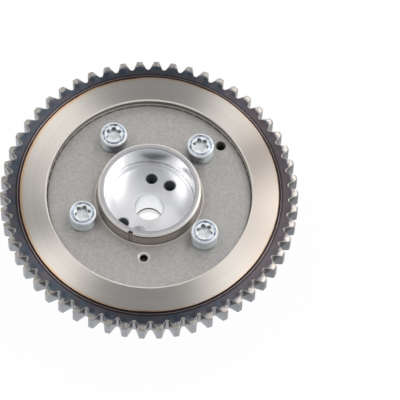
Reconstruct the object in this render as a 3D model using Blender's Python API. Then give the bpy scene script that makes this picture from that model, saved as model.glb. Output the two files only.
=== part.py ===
"""Camshaft phaser sprocket: a 54-tooth silent-chain sprocket with a hydraulic vane rotor inside.

The part lies with its front cover down and its camshaft side up. The Z axis is the camshaft axis.
Lengths below are millimetres and angles are degrees, counted counter-clockwise from +X as seen from
above. They become metres where a mesh is made.
"""
import math

import bmesh
import bpy
from mathutils import Vector

MM = 0.001
SEAT_GAP = 0.3              # left between pieces that touch on the real part

# Sprocket rim
CHAIN_PITCH = 6.35
TOOTH_COUNT = 54
TOOTH_HEIGHT = 3.45
TOOTH_WIDTH = 8.0
TIP_LAND = 1.9
GULLET_RADIUS = 0.95
TOOTH_PHASE = 1.667         # angle of the first tooth
BEVEL_HEIGHT = 2.5          # how far the front bevel reaches down from the tip
BEVEL_DROP = 0.75
BACK_BEVEL = 0.3
EDGE_BREAK = 0.4            # narrow chamfer round the tooth gaps
LAND_TAPER = 0.35           # how much narrower the bevel is at its inner end, as a share
RIM_STEP = 0.4              # the hardened rim lies this much below the turned face
RIM_BAND = 3.65             # width of the hardened band inside the tooth gaps
RIM_BEAD_WIDTH = 0.7

# Stack of the housing, from the table upwards
FRONT_COVER_THICKNESS = 5.0
ROTOR_THICKNESS = 17.6
PLATE_THICKNESS = 3.5
RECESS_DEPTH = 3.3          # the cover plate lies this much below the turned face

# Collar and pocket for the camshaft nose
POCKET_RADIUS = 16.7
COLLAR_WALL = 2.3
COLLAR_LENGTH = 10.9
COLLAR_PROUD = 2.9
COLLAR_CHAMFER = 0.8
COLLAR_CLEARANCE = 0.4      # running gap in the cover plate
NOTCH_ANGLE = -110.5
NOTCH_WIDTH = 1.6
NOTCH_DEPTH = 0.8
NOTCH_LENGTH = 7.0
POCKET_DEPTH = 12.0
FLOOR_STEP = 0.3            # the pocket is this much tighter below the collar

# Rotor
HUB_WALL = 1.2
VANE_HEIGHT = 12.9
TIP_CLEARANCE = 0.6
TRAVEL = 25.0
STOP_CLEARANCE = 0.7        # angle left at each end stop
PLAIN_VANE_ANGLE = 16.0
PLAIN_VANE_OFFSET = 5.0
LOCK_VANE_ANGLE = 32.0
VANE_FILLET = 1.0
NOSE_RADIUS = 15.2
NOSE_LENGTH = 4.0
BOLT_HOLE_RADIUS = 5.25
BOLT_HOLE_CHAMFER = 0.45

# Oil feeds in the pocket floor: angle of the hole, and angle at which its port leaves the hub
OIL_CIRCLE_RADIUS = 11.6
OIL_HOLE_RADIUS = 2.1
OIL_HOLE_DEPTH = 9.0
OIL_PORT_RADIUS = 1.2
OIL_FEEDS = ((86.4, 87.5), (49.8, 30.0), (215.3, 220.0))
PEG_CIRCLE_RADIUS = 10.8
PEG_HOLE_ANGLE = -109.4
PEG_HOLE_RADIUS = 2.5
PEG_HOLE_DEPTH = 5.0
HOLE_CHAMFER = 0.35

# Housing lobes and cover screws
SCREW_ANGLES = (45.1, 121.5, 202.4, 321.4)
SCREW_RADIUS = 3.0
SCREW_WEB = 1.95            # metal between the rotor bore and a screw hole
SCREW_END_INSET = 2.0       # the screw ends this much inside the front cover
HEAD_RADIUS = 4.95
HEAD_HEIGHT = 5.8
HEAD_CHAMFER = 0.5
LOBE_RECESS_RADIUS = 2.6    # mean radius of the six-lobe recess
LOBE_RECESS_WAVE = 0.42
LOBE_RECESS_DEPTH = 2.4
LOBE_HALF_ANGLE = 12.5
LEDGE_WIDTH = 3.3
BARREL_WALL = 5.5
EDGE_CHAMFER = 0.3
BARREL_CHAMFER = 0.8
TIMING_HOLE_ANGLE = 39.5
TIMING_HOLE_RADIUS = 1.7
TIMING_HOLE_INSET = 0.4     # the hole lies this much inside the chamber radius
TIMING_HOLE_DEPTH = 8.0

# Vane seals
SLOT_WIDTH = 2.6
SLOT_DEPTH = 3.8
SEAL_HEIGHT = 2.6
LEAF_THICKNESS = 0.3

# Lock pin in the wide vane
LOCK_ANGLE = 266.5
LOCK_SHARE = 0.31           # place of the pin's axis, as a share of the vane's height
PIN_RADIUS = 2.5
PIN_LENGTH = 10.8
PIN_POCKET_RADIUS = 1.7
PIN_POCKET_DEPTH = 8.0
PIN_NOSE_CHAMFER = 0.4
PLUG_THICKNESS = 1.5
PLUG_VENT_RADIUS = 0.7
BUSH_WALL = 0.9
BUSH_HEIGHT = 1.5
VENT_RADIUS = 1.5
VENT_SINK = 0.8
SPRING_WIRE_RADIUS = 0.22
SPRING_TURNS = 5

# Facets
SHARP_ANGLE = 35.0          # edges turned by more than this stay sharp
GULLET_SHARES = (0.0, 0.55, 1.0)    # points along half a gullet
ROUND_STEPS = 2 * TOOTH_COUNT
PLATE_STEPS = 60
HOLE_STEPS = 16
ARC_PITCH = 6.0
SCREW_STEPS = 24

# Radii worked out from the sizes above
TIP_RADIUS = CHAIN_PITCH / (2 * math.sin(math.pi / TOOTH_COUNT))
ROOT_RADIUS = TIP_RADIUS - TOOTH_HEIGHT
FACE_RADIUS = ROOT_RADIUS - RIM_BAND
COLLAR_RADIUS = POCKET_RADIUS + COLLAR_WALL
HUB_RADIUS = COLLAR_RADIUS + SEAT_GAP + HUB_WALL
ROTOR_BORE_RADIUS = HUB_RADIUS + SEAT_GAP
SCREW_HOLE_RADIUS = SCREW_RADIUS + SEAT_GAP
SCREW_CIRCLE_RADIUS = ROTOR_BORE_RADIUS + SCREW_WEB + SCREW_HOLE_RADIUS
VANE_RADIUS = HUB_RADIUS + VANE_HEIGHT
CHAMBER_RADIUS = VANE_RADIUS + TIP_CLEARANCE
PLATE_RADIUS = CHAMBER_RADIUS + LEDGE_WIDTH
RECESS_RADIUS = PLATE_RADIUS + SEAT_GAP
BARREL_RADIUS = CHAMBER_RADIUS + BARREL_WALL
LOCK_CIRCLE_RADIUS = HUB_RADIUS + LOCK_SHARE * VANE_HEIGHT
PIN_BORE_RADIUS = PIN_RADIUS + SEAT_GAP
BUSH_RADIUS = PIN_BORE_RADIUS + BUSH_WALL

# Heights worked out from the sizes above
ROTOR_BOTTOM_Z = FRONT_COVER_THICKNESS + SEAT_GAP
ROTOR_TOP_Z = ROTOR_BOTTOM_Z + ROTOR_THICKNESS
PLATE_BOTTOM_Z = ROTOR_TOP_Z + SEAT_GAP
PLATE_TOP_Z = PLATE_BOTTOM_Z + PLATE_THICKNESS
FACE_Z = PLATE_TOP_Z + RECESS_DEPTH
RIM_Z = FACE_Z - RIM_STEP
SPROCKET_BACK_Z = RIM_Z - TOOTH_WIDTH
HEAD_SEAT_Z = PLATE_TOP_Z + SEAT_GAP
COLLAR_TOP_Z = FACE_Z + COLLAR_PROUD
COLLAR_BOTTOM_Z = COLLAR_TOP_Z - COLLAR_LENGTH
FLOOR_Z = FACE_Z - POCKET_DEPTH
NOSE_Z = ROTOR_BOTTOM_Z - NOSE_LENGTH


def polar(radius, angle):
    """Point in the XY plane at a radius and an angle in degrees."""
    turn = math.radians(angle)
    return (radius * math.cos(turn), radius * math.sin(turn))


def circle(radius, z, steps, phase=0.0):
    """Ring of points round the Z axis."""
    return [(*polar(radius, phase + 360.0 * k / steps), z) for k in range(steps)]


def arc(radius, start, end, pitch=ARC_PITCH):
    """Points along an arc, with its ends, about one for each pitch degrees."""
    count = max(1, round(abs(end - start) / pitch))
    return [polar(radius, start + (end - start) * k / count) for k in range(count + 1)]


def rounded(outline, corners, radius, steps=3):
    """Outline with the corners at the given places replaced by tangent arcs."""
    points = []
    for place, corner in enumerate(outline):
        if place not in corners:
            points.append(corner)
            continue
        here = Vector(corner)
        back = (Vector(outline[place - 1]) - here).normalized()
        ahead = (Vector(outline[(place + 1) % len(outline)]) - here).normalized()
        half = back.angle(ahead) / 2
        centre = here + (back + ahead).normalized() * (radius / math.sin(half))
        start = here + back * (radius / math.tan(half)) - centre
        end = here + ahead * (radius / math.tan(half)) - centre
        for k in range(steps + 1):
            spoke = start.slerp(end, k / steps)
            points.append(tuple(centre + spoke))
    return points


def bridge(bm, lower, upper):
    """Faces between two rings whose counts are equal or a whole multiple of each other."""
    if len(lower) == len(upper):
        for k in range(len(lower)):
            n = (k + 1) % len(lower)
            bm.faces.new((lower[k], lower[n], upper[n], upper[k]))
        return
    fine, coarse = (lower, upper) if len(lower) > len(upper) else (upper, lower)
    ratio = len(fine) // len(coarse)
    for k in range(len(coarse)):
        near, far = coarse[k], coarse[(k + 1) % len(coarse)]
        for j in range(ratio):
            a, b = fine[k * ratio + j], fine[(k * ratio + j + 1) % len(fine)]
            bm.faces.new((a, b, near if j < ratio / 2 else far))
            if j + 1 == math.ceil(ratio / 2):
                bm.faces.new((b, far, near))


def skin(loops, closed=False):
    """Solid skinned over a row of rings: closed joins the last to the first, otherwise both are capped."""
    bm = bmesh.new()
    rings = [[bm.verts.new(Vector(point) * MM) for point in loop] for loop in loops]
    for lower, upper in zip(rings, rings[1:]):
        bridge(bm, lower, upper)
    if closed:
        bridge(bm, rings[-1], rings[0])
    else:
        bm.faces.new(rings[0])
        bm.faces.new(rings[-1])
    bmesh.ops.connect_verts_nonplanar(bm, angle_limit=0.001, faces=bm.faces)
    bmesh.ops.recalc_face_normals(bm, faces=bm.faces)
    return bm


def turned(profile, steps, closed=False):
    """Solid of revolution from (radius, height) points."""
    return skin([circle(radius, z, steps) for radius, z in profile], closed)


def prism(outline, low, high):
    """Straight solid over an outline in the XY plane."""
    return skin([[(x, y, low) for x, y in outline], [(x, y, high) for x, y in outline]])


def finish(name, bm, material=None, location=(0, 0, 0), parent=None, turn=0.0):
    """Object from a bmesh, shaded smooth except at its sharp edges."""
    mesh = bpy.data.meshes.new(name)
    bm.to_mesh(mesh)
    bm.free()
    return place(name, mesh, material, location, parent, turn)


def place(name, mesh, material=None, location=(0, 0, 0), parent=None, turn=0.0):
    """Object that carries a mesh at a place, turned about Z."""
    mesh.shade_smooth()
    mesh.set_sharp_from_angle(angle=math.radians(SHARP_ANGLE))
    if material and material.name not in mesh.materials:
        mesh.materials.append(material)
    thing = bpy.data.objects.new(name, mesh)
    thing.location = Vector(location) * MM
    thing.rotation_euler.z = math.radians(turn)
    thing.parent = parent
    bpy.context.collection.objects.link(thing)
    return thing


def cut(target, name, bm, location=(0, 0, 0)):
    """Boolean cut of a target by a hidden cutter."""
    cutter = finish(name, bm, location=location)
    cutter.hide_render = True
    cutter.display_type = "WIRE"
    modifier = target.modifiers.new(name, "BOOLEAN")
    modifier.operation = "DIFFERENCE"
    modifier.solver = "EXACT"
    modifier.object = cutter


def drill(target, name, centre, radius, bottom, top, sink=0.0, steps=HOLE_STEPS):
    """Upright hole whose mouth at the top height is countersunk by the given amount."""
    over = 1.0
    profile = [(radius, bottom), (radius, top + over)]
    if sink:
        profile = [(radius, bottom), (radius, top - sink), (radius + sink, top), (radius + sink, top + over)]
    cut(target, name, turned(profile, steps), location=(*centre, 0))


def metal(name, colour, roughness, metallic=1.0):
    """Principled material of one finish."""
    material = bpy.data.materials.new(name)
    material.use_nodes = True
    shader = material.node_tree.nodes["Principled BSDF"]
    shader.inputs["Base Color"].default_value = (*colour, 1.0)
    shader.inputs["Roughness"].default_value = roughness
    shader.inputs["Metallic"].default_value = metallic
    return material


def axis_empty(name, location=(0, 0, 0), parent=None):
    """Empty on a joint's axis, which carries the pieces that move about it."""
    empty = bpy.data.objects.new(name, None)
    empty.location = Vector(location) * MM
    empty.parent = parent
    bpy.context.collection.objects.link(empty)
    return empty


def tooth_period():
    """Outline of one tooth gap and the tooth after it, as (radius, angle) from the gap's centre line.

    A round gullet runs into two straight flanks, and each flank ends at the flat tip land.
    """
    pitch = 360.0 / TOOTH_COUNT
    centre_radius = ROOT_RADIUS + GULLET_RADIUS
    corner_angle = pitch / 2 - math.degrees(TIP_LAND / 2 / TIP_RADIUS)
    corner = Vector(polar(TIP_RADIUS, corner_angle))
    reach = corner - Vector((centre_radius, 0))
    tilt = math.atan2(reach.y, reach.x) - math.asin(GULLET_RADIUS / reach.length)
    half = []
    for share in GULLET_SHARES:
        swing = share * (math.pi / 2 - tilt)
        spot = Vector((centre_radius - GULLET_RADIUS * math.cos(swing), GULLET_RADIUS * math.sin(swing)))
        half.append((spot.length, math.degrees(math.atan2(spot.y, spot.x))))
    half.append((TIP_RADIUS, corner_angle))
    middle = (TIP_RADIUS, pitch / 2)
    return half + [middle] + [(radius, pitch - angle) for radius, angle in half[:0:-1]]


def tooth_loops():
    """Four rings over all teeth: inner edge of the front bevel, front edge, back edge and back bevel."""
    pitch = 360.0 / TOOTH_COUNT
    bevel_radius = TIP_RADIUS - BEVEL_HEIGHT
    inner, front, back, rear = [], [], [], []
    for tooth in range(TOOTH_COUNT):
        start = TOOTH_PHASE + (tooth - 0.5) * pitch
        for radius, angle in tooth_period():
            rise = max(0.0, radius - bevel_radius) / BEVEL_HEIGHT
            lean = (angle - pitch / 2) * (1 - LAND_TAPER * rise) + pitch / 2
            shoulder = min(radius - EDGE_BREAK, bevel_radius - EDGE_BREAK * abs(angle / pitch - 0.5))
            drop = EDGE_BREAK + (BEVEL_DROP - EDGE_BREAK) * rise
            inner.append((*polar(shoulder, start + lean), RIM_Z))
            front.append((*polar(radius, start + angle), RIM_Z - drop))
            back.append((*polar(radius, start + angle), SPROCKET_BACK_Z + BACK_BEVEL))
            rear.append((*polar(radius - BACK_BEVEL, start + angle), SPROCKET_BACK_Z))
    return inner, front, back, rear


def chambers():
    """Start and end angle of each oil chamber, which lies between two lobes."""
    spans = []
    for first, second in zip(SCREW_ANGLES, SCREW_ANGLES[1:] + (SCREW_ANGLES[0] + 360.0,)):
        spans.append((first + LOBE_HALF_ANGLE, second - LOBE_HALF_ANGLE))
    return spans


def vanes():
    """Start and end angle of each vane at rest, against its low stop."""
    spans = []
    for number, (low, high) in enumerate(chambers()):
        if number == 0:
            spans.append((low + STOP_CLEARANCE, high - STOP_CLEARANCE - TRAVEL))
        elif low < LOCK_ANGLE < high:
            spans.append((LOCK_ANGLE - LOCK_VANE_ANGLE / 2, LOCK_ANGLE + LOCK_VANE_ANGLE / 2))
        else:
            spans.append((low + PLAIN_VANE_OFFSET, low + PLAIN_VANE_OFFSET + PLAIN_VANE_ANGLE))
    return spans


def star_outline(spans, inner_radius, outer_radius, fillet):
    """Outline that lies at the outer radius over each span and at the inner radius between them."""
    points, corners = [], set()
    for (low, high), (following, _) in zip(spans, spans[1:] + [(spans[0][0] + 360.0, 0)]):
        raised = arc(outer_radius, low, high)
        sunk = arc(inner_radius, high, following)
        corners |= {len(points), len(points) + len(raised) - 1}
        points += raised
        corners |= {len(points), len(points) + len(sunk) - 1}
        points += sunk
    return rounded(points, corners, fillet)


def sprocket_housing(material):
    """Toothed ring, barrel and four lobes, sintered as one piece."""
    steps = ROUND_STEPS
    phase = TOOTH_PHASE - 180.0 / TOOTH_COUNT
    bead_start = FACE_RADIUS + RIM_STEP
    profile = [
        (RECESS_RADIUS, ROTOR_TOP_Z),
        (RECESS_RADIUS, FACE_Z - EDGE_CHAMFER),
        (RECESS_RADIUS + EDGE_CHAMFER, FACE_Z),
        (FACE_RADIUS, FACE_Z),
        (bead_start, RIM_Z),
        (bead_start + RIM_BEAD_WIDTH / 2, RIM_Z + RIM_STEP / 2),
        (bead_start + RIM_BEAD_WIDTH, RIM_Z),
    ]
    loops = [circle(radius, z, steps, phase) for radius, z in profile]
    loops += tooth_loops()
    loops += [
        circle(BARREL_RADIUS, SPROCKET_BACK_Z, steps, phase),
        circle(BARREL_RADIUS, ROTOR_BOTTOM_Z + BARREL_CHAMFER, steps, phase),
        circle(BARREL_RADIUS - BARREL_CHAMFER, ROTOR_BOTTOM_Z, steps, phase),
    ]
    housing = finish("sprocket_housing", skin(loops), material)
    bore = star_outline(chambers(), ROTOR_BORE_RADIUS, CHAMBER_RADIUS, VANE_FILLET)
    cut(housing, "chamber_cutter", prism(bore, ROTOR_BOTTOM_Z - 1, ROTOR_TOP_Z + 1))
    for number, angle in enumerate(SCREW_ANGLES, 1):
        centre = polar(SCREW_CIRCLE_RADIUS, angle)
        drill(housing, f"lobe_hole_cutter_{number}", centre, SCREW_HOLE_RADIUS, 0, ROTOR_TOP_Z)
    timing = polar(CHAMBER_RADIUS - TIMING_HOLE_INSET, TIMING_HOLE_ANGLE)
    drill(housing, "timing_hole_cutter", timing, TIMING_HOLE_RADIUS, PLATE_TOP_Z - TIMING_HOLE_DEPTH, ROTOR_TOP_Z)
    return housing


def cover_plate(material):
    """Blasted plate on the camshaft side, with the screw holes, the timing hole and the lock pin's vent."""
    hole = COLLAR_RADIUS + COLLAR_CLEARANCE
    edge = EDGE_CHAMFER
    profile = [
        (hole, PLATE_BOTTOM_Z),
        (PLATE_RADIUS, PLATE_BOTTOM_Z),
        (PLATE_RADIUS, PLATE_TOP_Z - edge),
        (PLATE_RADIUS - edge, PLATE_TOP_Z),
        (hole + edge, PLATE_TOP_Z),
        (hole, PLATE_TOP_Z - edge),
    ]
    plate = finish("cover_plate", turned(profile, PLATE_STEPS, closed=True), material)
    for number, angle in enumerate(SCREW_ANGLES, 1):
        centre = polar(SCREW_CIRCLE_RADIUS, angle)
        drill(plate, f"plate_hole_cutter_{number}", centre, SCREW_HOLE_RADIUS, 0, PLATE_TOP_Z)
    timing = polar(CHAMBER_RADIUS - TIMING_HOLE_INSET, TIMING_HOLE_ANGLE)
    drill(plate, "plate_timing_cutter", timing, TIMING_HOLE_RADIUS, 0, PLATE_TOP_Z, EDGE_CHAMFER)
    lock = polar(LOCK_CIRCLE_RADIUS, LOCK_ANGLE)
    pocket_top = PLATE_BOTTOM_Z + BUSH_HEIGHT + 2 * SEAT_GAP
    pocket = turned([(BUSH_RADIUS + SEAT_GAP, 0), (BUSH_RADIUS + SEAT_GAP, pocket_top)], HOLE_STEPS)
    cut(plate, "bush_pocket_cutter", pocket, location=(*lock, 0))
    drill(plate, "vent_cutter", lock, VENT_RADIUS, PLATE_BOTTOM_Z, PLATE_TOP_Z, VENT_SINK)
    return plate


def front_cover(material):
    """Plate under the chambers that the four screws pull against the lobes."""
    hole = NOSE_RADIUS + SEAT_GAP
    edge = BARREL_CHAMFER
    top = FRONT_COVER_THICKNESS
    profile = [
        (hole + edge, 0),
        (BARREL_RADIUS - edge, 0),
        (BARREL_RADIUS, edge),
        (BARREL_RADIUS, top - EDGE_CHAMFER),
        (BARREL_RADIUS - EDGE_CHAMFER, top),
        (hole, top),
        (hole, edge),
    ]
    cover = finish("front_cover", turned(profile, PLATE_STEPS, closed=True), material)
    for number, angle in enumerate(SCREW_ANGLES, 1):
        centre = polar(SCREW_CIRCLE_RADIUS, angle)
        drill(cover, f"thread_cutter_{number}", centre, SCREW_HOLE_RADIUS, -1, top)
    return cover


def screw_mesh():
    """Cylinder-head screw with a six-lobe recess, seated at z = 0 with its head up."""
    length = HEAD_SEAT_Z - SCREW_END_INSET
    top = HEAD_HEIGHT
    tip = SCREW_RADIUS / 4
    lobes = []
    for k in range(SCREW_STEPS):
        angle = 360.0 * k / SCREW_STEPS
        lobes.append(polar(LOBE_RECESS_RADIUS + LOBE_RECESS_WAVE * math.cos(math.radians(6 * angle)), angle))
    loops = [[(x, y, top - LOBE_RECESS_DEPTH) for x, y in lobes], [(x, y, top) for x, y in lobes]]
    profile = [
        (HEAD_RADIUS - HEAD_CHAMFER, top),
        (HEAD_RADIUS, top - HEAD_CHAMFER),
        (HEAD_RADIUS, 0),
        (SCREW_RADIUS, 0),
        (SCREW_RADIUS, tip - length),
        (SCREW_RADIUS - tip, -length),
    ]
    loops += [circle(radius, z, SCREW_STEPS) for radius, z in profile]
    mesh = bpy.data.meshes.new("cover_screw")
    bm = skin(loops)
    bm.to_mesh(mesh)
    bm.free()
    return mesh


def cover_screws(material):
    """Four equal screws, each in the middle of its lobe."""
    mesh = screw_mesh()
    for number, angle in enumerate(SCREW_ANGLES, 1):
        seat = (*polar(SCREW_CIRCLE_RADIUS, angle), HEAD_SEAT_Z)
        place(f"cover_screw_{number}", mesh, material, seat, turn=angle)


def hub_collar(material, parent):
    """Steel sleeve in the rotor, which centres the camshaft nose and stands proud of the plate."""
    edge = EDGE_CHAMFER
    outer, bore = COLLAR_RADIUS, POCKET_RADIUS
    profile = [
        (bore, COLLAR_BOTTOM_Z),
        (outer - edge, COLLAR_BOTTOM_Z),
        (outer, COLLAR_BOTTOM_Z + edge),
        (outer, COLLAR_TOP_Z - COLLAR_CHAMFER),
        (outer - COLLAR_CHAMFER, COLLAR_TOP_Z),
        (bore + edge, COLLAR_TOP_Z),
        (bore, COLLAR_TOP_Z - edge),
    ]
    collar = finish("hub_collar", turned(profile, PLATE_STEPS, closed=True), material, parent=parent)
    half = NOTCH_WIDTH / 2
    vee = [(outer - NOTCH_DEPTH, -half / 3), (outer + 1, -half * 2), (outer + 1, half * 2),
           (outer - NOTCH_DEPTH, half / 3)]
    turn = Vector(polar(1, NOTCH_ANGLE))
    outline = [(x * turn.x - y * turn.y, x * turn.y + y * turn.x) for x, y in vee]
    cut(collar, "notch_cutter", prism(outline, COLLAR_TOP_Z - NOTCH_LENGTH, COLLAR_TOP_Z + 1))
    return collar


def vane_rotor(material, parent):
    """Aluminium hub with four vanes, the pocket floor, the bolt hole and the oil feeds."""
    outline = star_outline(vanes(), HUB_RADIUS, VANE_RADIUS, VANE_FILLET)
    rotor = finish("vane_rotor", prism(outline, NOSE_Z, ROTOR_TOP_Z), material, parent=parent)
    over = 1.0
    outside = VANE_RADIUS + over
    collar_seat = COLLAR_BOTTOM_Z - SEAT_GAP
    floor_radius = POCKET_RADIUS - FLOOR_STEP
    sink = BOLT_HOLE_RADIUS + BOLT_HOLE_CHAMFER
    shoulder = [(NOSE_RADIUS, NOSE_Z - over), (outside, NOSE_Z - over),
                (outside, ROTOR_BOTTOM_Z), (NOSE_RADIUS, ROTOR_BOTTOM_Z)]
    cut(rotor, "nose_cutter", turned(shoulder, PLATE_STEPS, closed=True))
    pocket = [
        (sink, NOSE_Z - over),
        (sink, NOSE_Z),
        (BOLT_HOLE_RADIUS, NOSE_Z + BOLT_HOLE_CHAMFER),
        (BOLT_HOLE_RADIUS, FLOOR_Z - BOLT_HOLE_CHAMFER),
        (sink, FLOOR_Z),
        (floor_radius, FLOOR_Z),
        (floor_radius, collar_seat),
        (COLLAR_RADIUS + SEAT_GAP, collar_seat),
        (COLLAR_RADIUS + SEAT_GAP, ROTOR_TOP_Z + over),
    ]
    cut(rotor, "pocket_cutter", turned(pocket, PLATE_STEPS))
    feed_bottom = FLOOR_Z - OIL_HOLE_DEPTH
    for number, (angle, exit_angle) in enumerate(OIL_FEEDS, 1):
        centre = polar(OIL_CIRCLE_RADIUS, angle)
        drill(rotor, f"oil_hole_cutter_{number}", centre, OIL_HOLE_RADIUS, feed_bottom, FLOOR_Z, HOLE_CHAMFER)
        port_z = feed_bottom + OIL_HOLE_RADIUS
        cut(rotor, f"oil_port_cutter_{number}", port(centre, polar(HUB_RADIUS + over, exit_angle), port_z))
    peg = polar(PEG_CIRCLE_RADIUS, PEG_HOLE_ANGLE)
    drill(rotor, "peg_hole_cutter", peg, PEG_HOLE_RADIUS, FLOOR_Z - PEG_HOLE_DEPTH, FLOOR_Z, HOLE_CHAMFER)
    lock = polar(LOCK_CIRCLE_RADIUS, LOCK_ANGLE)
    drill(rotor, "pin_bore_cutter", lock, PIN_BORE_RADIUS, NOSE_Z, ROTOR_TOP_Z)
    for number, (low, high) in enumerate(vanes(), 1):
        cut(rotor, f"slot_cutter_{number}", slot((low + high) / 2))
    return rotor


def port(start, end, z):
    """Level oil drilling from the middle of a feed hole to the outside of the hub."""
    heading = (Vector(end) - Vector(start)).normalized()
    side = Vector((-heading.y, heading.x))
    loops = []
    for x, y in (start, end):
        ring = []
        for k in range(HOLE_STEPS // 2):
            turn = 4 * math.pi * k / HOLE_STEPS
            across = side * OIL_PORT_RADIUS * math.cos(turn)
            ring.append((x + across.x, y + across.y, z + OIL_PORT_RADIUS * math.sin(turn)))
        loops.append(ring)
    return skin(loops)


def slot(angle):
    """Cutter for the seal slot in a vane's tip."""
    along, across = Vector(polar(1, angle)), Vector(polar(1, angle + 90))
    floor, mouth, half = VANE_RADIUS - SLOT_DEPTH, VANE_RADIUS + 1, SLOT_WIDTH / 2
    corners = [along * floor - across * half, along * mouth - across * half,
               along * mouth + across * half, along * floor + across * half]
    return prism([tuple(corner) for corner in corners], NOSE_Z, ROTOR_TOP_Z + 1)


def vane_seals(seal_material, spring_material, parent):
    """A crowned seal bar and the bowed leaf spring behind it, in each vane's tip."""
    low, high = ROTOR_BOTTOM_Z + SEAT_GAP, ROTOR_TOP_Z - SEAT_GAP
    crown = CHAMBER_RADIUS - SEAT_GAP
    half = SLOT_WIDTH / 2 - SEAT_GAP
    swing = math.degrees(half / crown)
    inner = crown - SEAL_HEIGHT
    bar = [(inner, half), (inner, -half)] + arc(crown, -swing, swing, pitch=swing / 2)
    leaf_floor = VANE_RADIUS - SLOT_DEPTH + SEAT_GAP
    rise = inner - SEAT_GAP - LEAF_THICKNESS - leaf_floor
    loops = []
    for k in range(9):
        share = k / 8
        x = leaf_floor + rise * math.sin(math.pi * share)
        z = low + (high - low) * share
        loops.append([(x, -half, z), (x + LEAF_THICKNESS, -half, z), (x + LEAF_THICKNESS, half, z), (x, half, z)])
    meshes = {}
    for name, bm in (("vane_seal", prism(bar, low, high)), ("seal_spring", skin(loops))):
        meshes[name] = bpy.data.meshes.new(name)
        bm.to_mesh(meshes[name])
        bm.free()
    for number, (start, end) in enumerate(vanes(), 1):
        angle = (start + end) / 2
        place(f"vane_seal_{number}", meshes["vane_seal"], seal_material, parent=parent, turn=angle)
        place(f"seal_spring_{number}", meshes["seal_spring"], spring_material, parent=parent, turn=angle)


def lock_pin(material, parent):
    """Hollow pin in the wide vane, drawn back until its nose is level with the rotor."""
    top = ROTOR_TOP_Z
    bottom = top - PIN_LENGTH
    profile = [
        (PIN_POCKET_RADIUS, bottom + PIN_POCKET_DEPTH),
        (PIN_POCKET_RADIUS, bottom),
        (PIN_RADIUS, bottom),
        (PIN_RADIUS, top - PIN_NOSE_CHAMFER),
        (PIN_RADIUS - PIN_NOSE_CHAMFER, top),
    ]
    return finish("lock_pin", turned(profile, SCREW_STEPS), material, parent=parent)


def lock_bush(material):
    """Hard ring in the underside of the cover plate, which the pin enters when it locks."""
    low = PLATE_BOTTOM_Z + SEAT_GAP
    high = low + BUSH_HEIGHT
    profile = [(PIN_BORE_RADIUS, low), (BUSH_RADIUS, low), (BUSH_RADIUS, high), (PIN_BORE_RADIUS, high)]
    spot = (*polar(LOCK_CIRCLE_RADIUS, LOCK_ANGLE), 0)
    return finish("lock_bush", turned(profile, SCREW_STEPS, closed=True), material, spot)


def lock_plug(material, parent):
    """Vented disc at the foot of the pin's bore, which carries the spring."""
    low = ROTOR_BOTTOM_Z + SEAT_GAP
    high = low + PLUG_THICKNESS
    profile = [(PLUG_VENT_RADIUS, low), (PIN_RADIUS, low), (PIN_RADIUS, high), (PLUG_VENT_RADIUS, high)]
    return finish("lock_plug", turned(profile, SCREW_STEPS, closed=True), material, parent=parent)


def lock_spring(material, parent):
    """Coil spring between the plug and the roof of the pin's pocket."""
    wire = SPRING_WIRE_RADIUS
    low = ROTOR_BOTTOM_Z + PLUG_THICKNESS + 2 * SEAT_GAP + wire
    high = ROTOR_TOP_Z - PIN_LENGTH + PIN_POCKET_DEPTH - SEAT_GAP - wire
    mean = PIN_POCKET_RADIUS - SEAT_GAP - wire
    steps = 9 * SPRING_TURNS
    loops = []
    for k in range(steps + 1):
        share = k / steps
        turn = 2 * math.pi * SPRING_TURNS * share
        spoke = Vector((math.cos(turn), math.sin(turn), 0))
        centre = spoke * mean + Vector((0, 0, low + (high - low) * share))
        ring = []
        for j in range(5):
            spin = 2 * math.pi * j / 5
            ring.append(tuple(centre + wire * (spoke * math.cos(spin) + Vector((0, 0, math.sin(spin))))))
        loops.append(ring)
    return finish("lock_spring", skin(loops), material, parent=parent)


def main():
    for thing in list(bpy.data.objects):
        bpy.data.objects.remove(thing)
    hardened = metal("hardened_sintered_steel", (0.30, 0.29, 0.28), 0.38)
    blasted = metal("blasted_sintered_steel", (0.33, 0.31, 0.29), 0.62)
    sintered = metal("sintered_steel", (0.24, 0.24, 0.24), 0.55)
    zinc = metal("zinc_plated_steel", (0.62, 0.66, 0.70), 0.28)
    turned_steel = metal("turned_steel", (0.45, 0.44, 0.43), 0.32)
    aluminium = metal("turned_aluminium", (0.75, 0.76, 0.78), 0.24)
    spring_steel = metal("spring_steel", (0.35, 0.35, 0.36), 0.30)
    hard_steel = metal("hard_steel", (0.30, 0.30, 0.31), 0.25)
    seal_plastic = metal("seal_plastic", (0.05, 0.04, 0.03), 0.50, 0.0)

    sprocket_housing(hardened)
    cover_plate(blasted)
    front_cover(sintered)
    cover_screws(zinc)
    lock_bush(hard_steel)

    rotor_axis = axis_empty("rotor_axis")
    hub_collar(turned_steel, rotor_axis)
    vane_rotor(aluminium, rotor_axis)
    vane_seals(seal_plastic, spring_steel, rotor_axis)
    pin_axis = axis_empty("pin_axis", (*polar(LOCK_CIRCLE_RADIUS, LOCK_ANGLE), 0), rotor_axis)
    lock_pin(hard_steel, pin_axis)
    lock_plug(sintered, pin_axis)
    lock_spring(spring_steel, pin_axis)


main()
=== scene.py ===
"""Looks of a camshaft phaser sprocket, laid out as a Blender add-on.

The part lies with its camshaft side up: a toothed steel ring with a turned face, a blasted cover
plate held by four zinc-plated screws, and an aluminium rotor whose pocket takes the camshaft nose.
Sizes are in metres, the Z axis is the camshaft axis, and angles run counter-clockwise from +X.
"""
import math

import bmesh
import bpy
import numpy as np
from bpy.props import FloatProperty, FloatVectorProperty, IntProperty, PointerProperty
from mathutils import Matrix, Vector


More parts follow.
